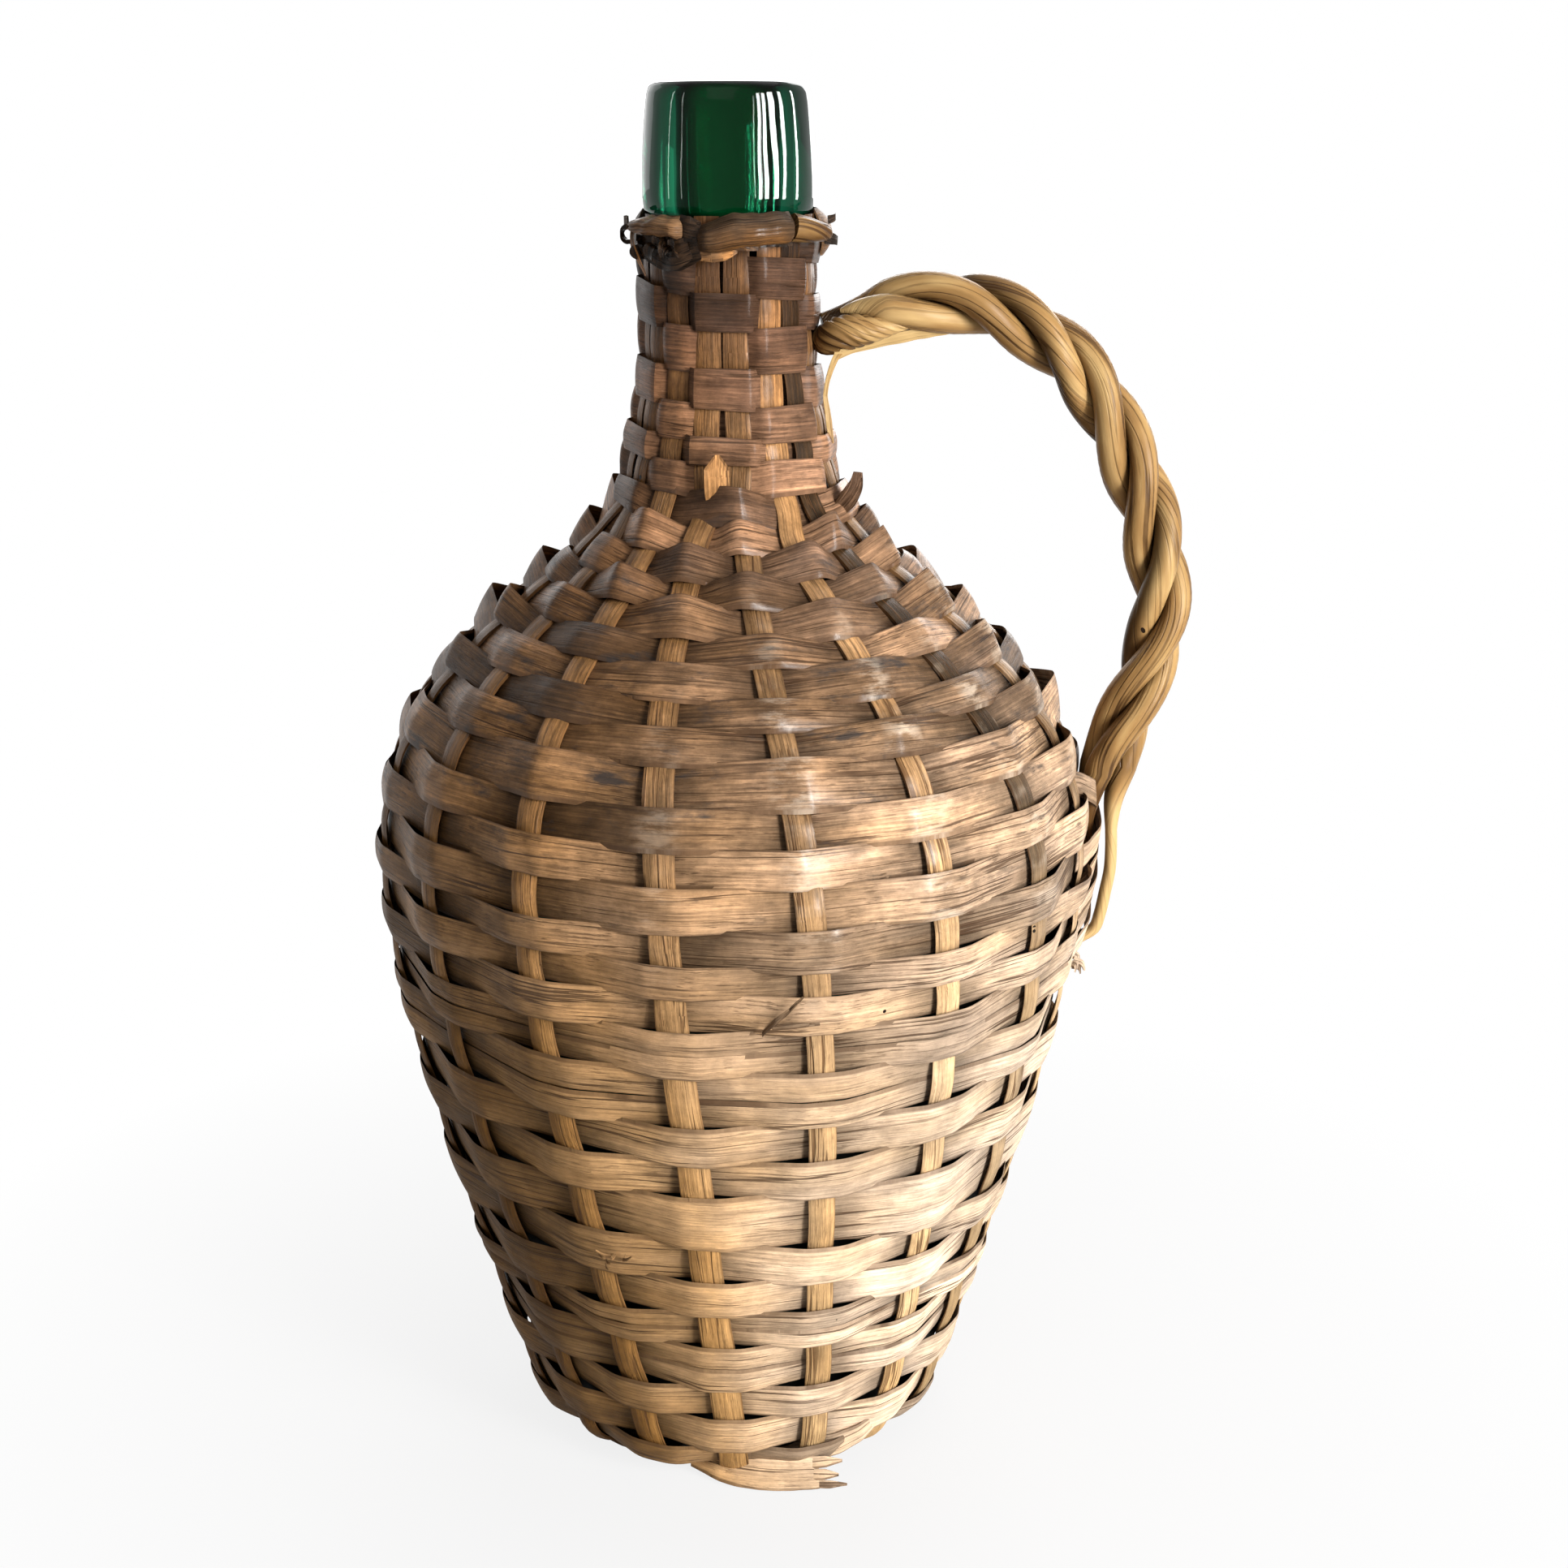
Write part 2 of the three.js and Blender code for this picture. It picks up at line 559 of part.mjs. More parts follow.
addPiece("glass_bottle", bottleGeometry(), GLASS);
for (let layer = 0; layer < LAYERS; layer += 1) {
  const opposite = layer + LAYERS - 1;
  const index = opposite < UPRIGHT_COUNT - 1 ? layer : UPRIGHT_COUNT - 1;
  const geometry = uprightGeometry(index, opposite < UPRIGHT_COUNT - 1 ? opposite : null, layer);
  addPiece(`upright_splint_${layer + 1}`, geometry, UPRIGHT_WOOD);
}
const evenBefore = (count) => count - (count % 2);
const baseStart = evenBefore(crossings.findIndex((c) => c.enter > ROWS - BASE_ROWS));
const splintStart = (i) => evenBefore(Math.round((i / WOVEN_COUNT) * baseStart));
for (let i = 0; i < WOVEN_COUNT; i += 1) {
  const number = String(i + 1).padStart(2, "0");
  addPiece(`woven_splint_${number}`, weaverGeometry(splintStart(i), splintStart(i + 1)), WOVEN_WOOD);
}
addPiece("base_splint", weaverGeometry(baseStart, evenBefore(crossings.length - 1)), WOVEN_WOOD);
for (let i = 0; i < COLLAR_COUNT; i += 1) {
  addPiece(`collar_splint_${i + 1}`, collarGeometry(i), COLLAR_WOOD);
}
for (let i = 0; i < ROD_COUNT; i += 1) {
  addPiece(`handle_rod_${i + 1}`, rodGeometry(i), WILLOW);
}
addPiece("handle_neck_tie", neckTieGeometry(), TIE_WOOD);
addPiece("handle_lower_tie", lowerTieGeometry(), TIE_WOOD);

export default demijohn;
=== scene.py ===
import math
import random

import bmesh
import bpy
import numpy as np
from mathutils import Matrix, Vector, noise
from mathutils.geometry import interpolate_bezier


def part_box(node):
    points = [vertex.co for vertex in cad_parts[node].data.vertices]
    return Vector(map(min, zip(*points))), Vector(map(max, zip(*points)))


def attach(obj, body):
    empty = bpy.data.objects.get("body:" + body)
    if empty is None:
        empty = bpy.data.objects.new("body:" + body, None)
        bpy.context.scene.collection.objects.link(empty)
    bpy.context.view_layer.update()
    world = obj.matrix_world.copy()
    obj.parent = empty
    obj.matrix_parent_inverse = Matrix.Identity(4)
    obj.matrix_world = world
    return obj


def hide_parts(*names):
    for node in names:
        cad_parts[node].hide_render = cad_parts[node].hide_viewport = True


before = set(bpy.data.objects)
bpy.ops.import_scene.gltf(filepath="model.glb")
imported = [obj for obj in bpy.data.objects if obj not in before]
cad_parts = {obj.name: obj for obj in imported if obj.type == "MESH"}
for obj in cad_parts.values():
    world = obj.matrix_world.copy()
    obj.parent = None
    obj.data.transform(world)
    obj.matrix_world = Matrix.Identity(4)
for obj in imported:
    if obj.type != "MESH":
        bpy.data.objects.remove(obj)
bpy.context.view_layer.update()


# Glass bottle: one piece of deep green glass, blown in a mould, with a thick ring lip, a straight neck and
# a kicked-up foot. The cover hangs on its outline, so every later section measures along that outline.
foot_corner, top_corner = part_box("glass_bottle")
FOOT_Z, HEIGHT, BODY_RADIUS = foot_corner.z, top_corner.z, top_corner.x
FOOT_INNER, FOOT_OUTER = 0.04675, 0.056
HEEL_RADIUS, HEEL_HEIGHT, HEEL_FULLNESS = 0.072, 0.011, 0.0656
BODY_LEAN, LOWER_BODY_RUN = math.radians(16), 0.060
BELLY_Z, BELLY_SWELL, SHOULDER_SWELL = 0.213, 0.050, 0.075
NECK_RADIUS, NECK_Z, NECK_FLARE = 0.0224, 0.350, 0.050
LIP_Z = 0.416
BORE_RADIUS = 0.0165
GLASS_WALL = 0.004
INSIDE_TOP_Z, INSIDE_LOW_Z = LIP_Z - 0.006, FOOT_Z + 0.008
KICK_Z, KICK_RADIUS, KICK_CROWN = 0.0199, 0.02975, 0.002
BOTTLE_SIDES = 96


def curve_points(*corners, count=90):
    knots = [Vector((radius, 0.0, height)) for radius, height in corners]
    return [(p.x, p.z) for p in interpolate_bezier(*knots, count)]


def run_along(points):
    """Distance of each point from the first one, along their line."""
    return np.concatenate([[0.0], np.cumsum(np.linalg.norm(np.diff(points, axis=0), axis=1))])


lean = Vector((math.sin(BODY_LEAN), math.cos(BODY_LEAN)))
heel = Vector((HEEL_RADIUS, FOOT_Z + HEEL_HEIGHT))
belly = (BODY_RADIUS, BELLY_Z)
shoulder_pull = (BODY_RADIUS, BELLY_Z + SHOULDER_SWELL)
neck_pull = (NECK_RADIUS, NECK_Z - NECK_FLARE)
outline = np.array(
    [(FOOT_INNER, FOOT_Z)]
    + curve_points((FOOT_OUTER, FOOT_Z), (HEEL_FULLNESS, FOOT_Z), heel - lean * HEEL_HEIGHT / 2, heel)
    + curve_points(heel, heel + lean * LOWER_BODY_RUN, (BODY_RADIUS, BELLY_Z - BELLY_SWELL), belly)[1:]
    + curve_points(belly, shoulder_pull, neck_pull, (NECK_RADIUS, NECK_Z))[1:]
    + [(NECK_RADIUS, LIP_Z)]
)
outline_run = run_along(outline)
outline_slope = np.gradient(outline, outline_run, axis=0)


def glass_at(distance, outwards=0.0):
    """Radius, height and outward direction at a distance up the outline, moved out from the glass."""
    radius, height = (np.interp(distance, outline_run, outline[:, k]) for k in (0, 1))
    along_r, along_z = (np.interp(distance, outline_run, outline_slope[:, k]) for k in (0, 1))
    size = np.hypot(along_r, along_z)
    out_r, out_z = along_z / size, -along_r / size
    return radius + out_r * outwards, height + out_z * outwards, out_r, out_z


def distance_at_height(height):
    above_foot = outline_run > FOOT_OUTER - FOOT_INNER
    return float(np.interp(height, outline[above_foot, 1], outline_run[above_foot]))


lip_profile = [
    (0.0236, LIP_Z - 0.0012), (0.0258, LIP_Z - 0.0004), (0.0269, LIP_Z + 0.0012), (0.0273, LIP_Z + 0.005),
    (0.0273, LIP_Z + 0.011), (0.0270, LIP_Z + 0.018), (0.0264, LIP_Z + 0.026), (0.0258, HEIGHT - 0.0065),
    (0.0254, HEIGHT - 0.0034), (0.0247, HEIGHT - 0.0014), (0.0234, HEIGHT - 0.0003), (0.0214, HEIGHT),
    (0.0190, HEIGHT - 0.0005), (0.0173, HEIGHT - 0.0020), (BORE_RADIUS, HEIGHT - 0.005), (BORE_RADIUS, LIP_Z),
]
inside_run = np.linspace(distance_at_height(INSIDE_TOP_Z), distance_at_height(INSIDE_LOW_Z), 48)
inside_r, inside_z, _, _ = glass_at(inside_run, -GLASS_WALL)
bottle_profile = (
    [(0.0, KICK_Z + KICK_CROWN), (KICK_RADIUS * 0.7, KICK_Z + KICK_CROWN * 0.7), (KICK_RADIUS, KICK_Z)]
    + [tuple(p) for p in outline[:-1:2]]
    + [(NECK_RADIUS, LIP_Z - 0.004)]
    + lip_profile
    + list(zip(inside_r, inside_z))
    + [(FOOT_OUTER, FOOT_Z + GLASS_WALL), (FOOT_INNER - 0.002, FOOT_Z + GLASS_WALL)]
    + [(KICK_RADIUS - 0.002, KICK_Z + GLASS_WALL), (0.0, KICK_Z + GLASS_WALL + KICK_CROWN)]
)
bottle_mesh = bmesh.new()
profile_points = [bottle_mesh.verts.new((radius, 0.0, height)) for radius, height in bottle_profile]
profile_lines = [bottle_mesh.edges.new(pair) for pair in zip(profile_points, profile_points[1:])]
bmesh.ops.spin(
    bottle_mesh, geom=profile_points + profile_lines, axis=(0, 0, 1), cent=(0, 0, 0),
    steps=BOTTLE_SIDES, angle=math.tau, use_merge=True,
)
bmesh.ops.remove_doubles(bottle_mesh, verts=bottle_mesh.verts, dist=1e-6)
bmesh.ops.recalc_face_normals(bottle_mesh, faces=bottle_mesh.faces)


def finished_piece(name, mesh_maker, material, slot, *nodes, sharp_angle=40):
    """Turns a bmesh into a piece of the object that rides on the root body."""
    for corner in mesh_maker.verts:
        corner.co.z = max(corner.co.z, 0.0)
    for face in mesh_maker.faces:
        face.smooth = True
    for edge in mesh_maker.edges:
        edge.smooth = edge.calc_face_angle(0.0) < math.radians(sharp_angle)
    mesh = bpy.data.meshes.new(name)
    mesh_maker.to_mesh(mesh)
    mesh_maker.free()
    mesh.materials.append(material)
    piece = bpy.data.objects.new(name, mesh)
    bpy.context.scene.collection.objects.link(piece)
    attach(piece, "root")
    if nodes:
        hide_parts(*nodes)
    return piece


def join(tree, socket, value):
    if isinstance(value, bpy.types.NodeSocket):
        tree.links.new(value, socket)
    else:
        socket.default_value = value


def calc(tree, operation, *values):
    node = tree.nodes.new("ShaderNodeMath")
    node.operation = operation
    for socket, value in zip(node.inputs, values):
        join(tree, socket, value)
    return node.outputs[0]


def tint(tree, blend_type, share, below, above):
    node = tree.nodes.new("ShaderNodeMix")
    node.data_type = "RGBA"
    node.blend_type = blend_type
    for index, value in ((0, share), (6, below), (7, above)):
        join(tree, node.inputs[index], value)
    return node.outputs[2]


def ramp(tree, value, *stops):
    """Colour ramp from (place, grey or colour) stops."""
    node = tree.nodes.new("ShaderNodeValToRGB")
    elements = node.color_ramp.elements
    while len(elements) < len(stops):
        elements.new(0.5)
    for element, (place, colour) in zip(elements, stops):
        element.position = place
        element.color = (*colour, 1.0) if isinstance(colour, tuple) else (colour, colour, colour, 1.0)
    join(tree, node.inputs[0], value)
    return node.outputs[0]


def stretch(tree, vector, x, y, z=1.0):
    node = tree.nodes.new("ShaderNodeMapping")
    join(tree, node.inputs["Vector"], vector)
    node.inputs["Scale"].default_value = (x, y, z)
    return node.outputs[0]


def clouds(tree, vector, scale=1.0, detail=3.0, roughness=0.5):
    node = tree.nodes.new("ShaderNodeTexNoise")
    join(tree, node.inputs["Vector"], vector)
    node.inputs["Scale"].default_value = scale
    node.inputs["Detail"].default_value = detail
    node.inputs["Roughness"].default_value = roughness
    return node.outputs[0]


def raised(tree, height, strength, depth):
    node = tree.nodes.new("ShaderNodeBump")
    node.inputs["Strength"].default_value = strength
    node.inputs["Distance"].default_value = depth
    join(tree, node.inputs["Height"], height)
    return node.outputs[0]


def new_material(name):
    material = bpy.data.materials.new(name)
    material.use_nodes = True
    tree = material.node_tree
    return material, tree, tree.nodes["Principled BSDF"].inputs


def object_spot(tree):
    """Place on the object, as one vector and as its X, Y and Z."""
    place = tree.nodes.new("ShaderNodeTexCoord").outputs["Object"]
    parts = tree.nodes.new("ShaderNodeSeparateXYZ")
    join(tree, parts.inputs[0], place)
    return place, parts.outputs


bottle_glass, tree, glass = new_material("bottle_green_glass")
place, spot = object_spot(tree)
swirl = clouds(tree, stretch(tree, place, 30, 30, 9), 1.0, 2.0)
facing = tree.nodes.new("ShaderNodeLayerWeight").outputs["Facing"]
thick = ramp(tree, facing, (0.10, 0.80), (0.22, 0.34), (0.45, 0.045), (0.80, 0.010))
green = ramp(tree, swirl, (0.35, (0.008, 0.150, 0.066)), (0.65, (0.018, 0.270, 0.135)))
green = tint(tree, "MULTIPLY", 1.0, green, thick)
# Glass that the cover hides is darkened towards grey and made rougher; the darkening is painted shade under the
# cover.
covered = ramp(tree, spot["Z"], (0.399, 1.0), (0.406, 0.0))
join(tree, glass["Base Color"], tint(tree, "MULTIPLY", covered, green, (0.10, 0.12, 0.11, 1)))
join(tree, glass["Roughness"], calc(tree, "MULTIPLY_ADD", covered, 0.5, 0.02))
glass["Transmission Weight"].default_value = 1.0
glass["IOR"].default_value = 1.25
glass["Specular Tint"].default_value = (0.45, 0.45, 0.45, 1)
waves = clouds(tree, stretch(tree, place, 60, 60, 22), 1.0, 2.0)
join(tree, glass["Normal"], raised(tree, waves, 0.25, 0.002))
bottle = finished_piece(
    "glass_bottle_blown", bottle_mesh, bottle_glass, "bottle_glass", "glass_bottle", sharp_angle=70)


# Upright splints: seventeen strips of split wood, slightly round on the outside, that stand round the bottle
# in pairs on the neck and fan out below. Each long strip runs down one side, under the base and up the other.
UPRIGHT_COUNT = 17
UPRIGHT_WIDTH, UPRIGHT_NECK_WIDTH, UPRIGHT_THICKNESS = 0.0102, 0.0082, 0.0013
UPRIGHT_START, UPRIGHT_LEAN = math.radians(-104), math.radians(15)
UPRIGHT_CROWN, UPRIGHT_WAVE, UPRIGHT_SWAY = 0.0006, 0.0006, 0.0011
ROUNDER_Z, ROUNDER_RUN, ROUNDER_SHARE = 0.26, 0.06, 0.9
INNER_LEVEL, UPRIGHT_LEVEL, OUTER_LEVEL = 0.0019, 0.0031, 0.0046
WEAVE_GAP, ROW_GAP = 0.0005, 0.0006
ROWS, NECK_ROWS, UPPER_ROWS, ROW_CHANGE, ROW_WIDENING = 36, 8, 22, 2, 1.43
ROW_STRAY, LOWER_ROW_STRAY = 0.0026, 0.0024
STAND_OFF, STAND_OFF_Z, STAND_OFF_SPREAD = 0.0047, 0.342, 0.018
CROSS_RADIUS, LAYERS, LAYER_STEP = 0.02775, 9, 0.0021
WEAVE_TOP, UPRIGHT_TOP = distance_at_height(0.40405), distance_at_height(0.41565)
widening_turn = UPPER_ROWS + ROW_CHANGE / 2
upper_row = WEAVE_TOP / (widening_turn + ROW_WIDENING * (ROWS - widening_turn))
column_spacing = math.tau / UPRIGHT_COUNT


def row_edge(turn):
    """Distance up the outline of the weave's spiral after a number of turns from the collar."""
    past = np.maximum(np.asarray(turn) - UPPER_ROWS, 0.0)
    widened = np.where(past < ROW_CHANGE, past ** 2 / (2 * ROW_CHANGE), past - ROW_CHANGE / 2)
    return WEAVE_TOP - upper_row * (turn + (ROW_WIDENING - 1) * widened)


def on_lower_body(turn):
    """0 on the upper rows, and 1 from three turns below them."""
    return np.clip((turn - UPPER_ROWS) / 3, 0, 1)


def ripple(*values):
    return noise.noise(Vector((values + (0.0, 0.0))[:3]))


def ripples(values, seed, wavelength):
    return np.array([ripple(value / wavelength, seed) for value in values])


def row_waver(turn):
    """How far the edge between two rows strays from the even spiral, in a long and a short wave."""
    turn = np.asarray(turn)
    size = ROW_STRAY + LOWER_ROW_STRAY * on_lower_body(turn)
    size = size * np.clip(turn, 0, 1) * np.clip((ROWS - 2 - turn) / 2, 0, 1)
    strays = [ripple(t * 1.9, 7.3) + 0.6 * ripple(t * 5.7, 3.1) for t in turn.ravel()]
    return size * np.array(strays).reshape(turn.shape)


def stand_off(distance):
    """How far the cover hangs clear of the glass where the neck runs into the shoulder."""
    height = np.interp(distance, outline_run, outline[:, 1])
    return STAND_OFF * np.exp(-((height - STAND_OFF_Z) / STAND_OFF_SPREAD) ** 2)


pair_end = float(row_edge(NECK_ROWS - 0.5))
fan_start = float(row_edge(NECK_ROWS + 0.5))


def upright_width(distance):
    taper = np.clip((distance - fan_start / 2) / (pair_end - fan_start / 2), 0, 1)
    return UPRIGHT_WIDTH + (UPRIGHT_NECK_WIDTH - UPRIGHT_WIDTH) * taper


def upright_angle(index, distance):
    """Angle of an upright's middle: evenly spaced on the body, in pairs on the neck."""
    fanned = UPRIGHT_START + index * column_spacing + UPRIGHT_LEAN * (1 - np.minimum(distance / fan_start, 1))
    if index == UPRIGHT_COUNT - 1:
        return fanned
    side = 1 if index % 2 == 0 else -1
    beside = np.arctan((upright_width(distance) + WEAVE_GAP) / 2 / glass_at(distance, UPRIGHT_LEVEL)[0])
    paired = fanned + side * (column_spacing / 2 - beside)
    share = np.clip((distance - fan_start) / (pair_end - fan_start), 0, 1)
    return fanned + (paired - fanned) * share


turn_table = np.linspace(-1, ROWS + 1, 4000)
edge_table = row_edge(turn_table)


def shown(index, distance):
    """1 where the weave passes behind an upright, so that it shows, down to -1 where the weave covers it."""
    turn = np.interp(-distance, -edge_table, turn_table)
    row = turn - (upright_angle(index, distance) - UPRIGHT_START) / math.tau
    on_neck = row < NECK_ROWS
    crossing_parity = np.where(on_neck, index // 2, index + NECK_ROWS)
    return np.where(crossing_parity % 2 == 0, 1, -1) * np.cos(math.pi * (row - 0.5))


def lay_grid(mesh_maker, points, run, across, **values):
    """Adds a grid of points (along, across, xyz) to a bmesh, with its grain map and a value at each corner."""
    count, lines = points.shape[:2]
    maps, layers = mesh_maker.loops.layers.uv, mesh_maker.verts.layers.float
    grain = maps.get("grain") or maps.new("grain")
    filled = [
        (layers.get(name) or layers.new(name), np.broadcast_to(value, (count, lines)))
        for name, value in values.items()]
    grid = bmesh.ops.create_grid(mesh_maker, x_segments=count - 1, y_segments=lines - 1, size=0.5)
    corners, faces, spots = grid["verts"], {}, {}
    for order, corner in enumerate(corners):
        i, j = order % count, order // count
        corner.co = points[i, j]
        spots[corner] = (run[i], across[i, j])
        for layer, value in filled:
            corner[layer] = value[i, j]
        faces.update(dict.fromkeys(corner.link_faces))
    for face in faces:
        for loop in face.loops:
            loop[grain].uv = spots[loop.vert]
    return corners, list(faces)


def add_splint(mesh_maker, points, thickness, run, across, tones, crowns):
    """Adds a closed strip to a bmesh from a grid of points, with its tone and how far it stands out along the
    run, which the materials use for painted shade in the hollows.
    """
    rims = np.abs(np.linspace(-1, 1, points.shape[1]))
    _, faces = lay_grid(mesh_maker, points, run, across, tone=tones[:, None], crown=crowns[:, None], rim=rims)
    bmesh.ops.solidify(mesh_maker, geom=faces, thickness=thickness)


def eased(stations, passes):
    for _ in range(passes):
        inner = 0.25 * stations[:-2] + 0.5 * stations[1:-1] + 0.25 * stations[2:]
        stations = np.concatenate([stations[:1], inner, stations[-1:]])
    return stations


def round_about(radius, angle, height):
    return np.stack([radius * np.cos(angle), radius * np.sin(angle), height], axis=-1)


def upright_leg(index, layer):
    """Middle line, sideways and outward directions, width and show of one leg, from the collar to the base."""
    distance = np.linspace(UPRIGHT_TOP, 0.0, 190)
    show = shown(index, distance)
    angle = upright_angle(index, distance)
    sway = UPRIGHT_SWAY * ripples(distance, index * 3.7, 0.07)
    level = UPRIGHT_LEVEL + UPRIGHT_WAVE * show + stand_off(distance)
    radius, height, out_r, out_z = glass_at(distance, level)
    girth = 1 + 0.45 * ripple(index * 4.7, 61.0) * np.clip(2 - distance / fan_start * 2, 0, 1)
    width = upright_width(distance) * girth * (1 + 0.10 * ripples(distance, index * 5.3 + 90, 0.05))
    sideways = np.stack([-np.sin(angle), np.cos(angle), 0 * angle], axis=1)
    outwards = round_about(out_r, angle, out_z)
    middle = round_about(radius, angle, height) + sideways * sway[:, None]
    crossing_point = round_about(CROSS_RADIUS, angle[-1], UPRIGHT_THICKNESS / 2 + layer * LAYER_STEP)
    rise = np.linspace(0, 1, 10)[1:, None]
    climb = middle[-1] + (crossing_point - middle[-1]) * rise
    spread = np.ones((len(rise), 1))
    return (
        np.concatenate([middle, climb]), np.concatenate([sideways, spread * sideways[-1]]),
        np.concatenate([outwards, spread * np.array([0.0, 0.0, -1.0])]),
        np.concatenate([width, np.full(len(rise), UPRIGHT_WIDTH)]),
        np.concatenate([show, np.zeros(len(rise))]),
    )


def upright_mesh(layer):
    """One long strip with both its legs, or the single one that ends under the base."""
    opposite = layer + LAYERS - 1
    single = opposite >= UPRIGHT_COUNT - 1
    index = UPRIGHT_COUNT - 1 if single else layer
    near = upright_leg(index, layer)
    draw = random.Random(layer + 40)
    near_tones = np.full(len(near[0]), draw.uniform(-0.9, 0.5))
    if single:
        far = [part[-1:] for part in near]
        far[0] = far[0] * np.array([-0.5, -0.5, 1.0])
        far_tones = near_tones[-1:]
    else:
        far = [part[::-1] for part in upright_leg(opposite, layer)]
        far[1] = -far[1]
        far_tones = np.full(len(far[0]), draw.uniform(-0.9, 0.5))
    middle, sideways, outwards, width, show = (np.concatenate(pair) for pair in zip(near, far))
    tones = np.concatenate([near_tones, far_tones])
    middle = eased(middle, passes=2)
    spans = np.linspace(-0.5, 0.5, 7)
    rounder = ROUNDER_SHARE * np.clip((ROUNDER_Z - middle[:, 2]) / ROUNDER_RUN, 0, 1)
    crown = UPRIGHT_CROWN * (1 + rounder)[:, None] * (1 - (2 * spans) ** 2)
    points = (
        middle[:, None] + sideways[:, None] * (width[:, None] * spans)[:, :, None]
        + outwards[:, None] * (UPRIGHT_THICKNESS / 2 + crown)[:, :, None])
    across = width[:, None] * spans + layer * 0.37
    mesh_maker = bmesh.new()
    add_splint(
        mesh_maker, points[:, ::-1], UPRIGHT_THICKNESS, run_along(middle), across[:, ::-1], tones,
        0.5 + 0.5 * show)
    return mesh_maker


def times(tree, first, *others):
    for value in others:
        first = calc(tree, "MULTIPLY", first, value)
    return first


def fibres(tree, uv, along, across, detail=3.0, roughness=0.5):
    """Clouds drawn out along a strip, by their scales along and across it."""
    return clouds(tree, stretch(tree, uv, along, across), 1.0, detail, roughness)


def pin_holes(tree, uv, along, across, size, rarity):
    """Small round holes scattered over a strip."""
    spots = tree.nodes.new("ShaderNodeTexVoronoi")
    join(tree, spots.inputs["Vector"], stretch(tree, uv, along, across))
    spots.inputs["Scale"].default_value = 1.0
    chance = tree.nodes.new("ShaderNodeSeparateColor")
    join(tree, chance.inputs[0], spots.outputs["Color"])
    near = calc(tree, "LESS_THAN", spots.outputs["Distance"], size)
    return times(tree, near, calc(tree, "GREATER_THAN", chance.outputs[0], rarity))


def contours(tree, uv, along, across, detail, roughness):
    """Distance from the middle of clouds, which is 0 on thin lines along a strip."""
    away = calc(tree, "SUBTRACT", fibres(tree, uv, along, across, detail, roughness), 0.5)
    return calc(tree, "ABSOLUTE", away)


def splint_grain():
    """Fibres, dark dashes, cracks, stains, worm holes and relief of split wood, along a strip's UV map."""
    group = bpy.data.node_groups.new("splint_grain", "ShaderNodeTree")
    group.interface.new_socket("UV", in_out="INPUT", socket_type="NodeSocketVector")
    uv = group.nodes.new("NodeGroupInput").outputs["UV"]
    fibre = fibres(group, uv, 30, 1100, 6.0, 0.70)
    short = ramp(group, fibres(group, uv, 130, 1000, 3.0, 0.6), (0.57, 0.0), (0.64, 1.0))
    long = ramp(group, fibres(group, uv, 30, 850), (0.60, 0.0), (0.67, 1.0))
    worn = ramp(group, fibres(group, uv, 22, 75), (0.38, 0.35), (0.60, 1.0))
    dash = times(group, calc(group, "MAXIMUM", short, long), worn)
    some = ramp(group, fibres(group, uv, 16, 90, 2.0), (0.40, 0.0), (0.52, 1.0))
    crack = times(group, ramp(group, contours(group, uv, 5, 190, 3.0, 0.45), (0.006, 1.0), (0.016, 0.0)), some)
    stain = fibres(group, uv, 55, 150, 6.0, 0.68)
    hole = pin_holes(group, uv, 60, 60, 0.055, 0.88)
    relief = fibre
    for sunk in (times(group, dash, 0.3), crack, times(group, hole, 1.5)):
        relief = calc(group, "SUBTRACT", relief, sunk)
    results = {"Fibre": fibre, "Dash": dash, "Crack": crack, "Stain": stain, "Hole": hole, "Height": relief}
    for name in results:
        group.interface.new_socket(name, in_out="OUTPUT", socket_type="NodeSocketFloat")
    out = group.nodes.new("NodeGroupOutput").inputs
    for name, value in results.items():
        join(group, out[name], value)
    return group


grain_group = splint_grain()


def grain_map(tree):
    node = tree.nodes.new("ShaderNodeUVMap")
    node.uv_map = "grain"
    return node.outputs[0]


def grain_values(tree, uv):
    node = tree.nodes.new("ShaderNodeGroup")
    node.node_tree = grain_group
    join(tree, node.inputs["UV"], uv)
    return node.outputs


def attribute(tree, name):
    node = tree.nodes.new("ShaderNodeAttribute")
    node.attribute_name = name
    return node.outputs["Fac"]


def grey(tree, value):
    node = tree.nodes.new("ShaderNodeCombineColor")
    for socket in node.inputs[:3]:
        join(tree, socket, value)
    return node.outputs[0]


COVER_HEIGHT = 0.42


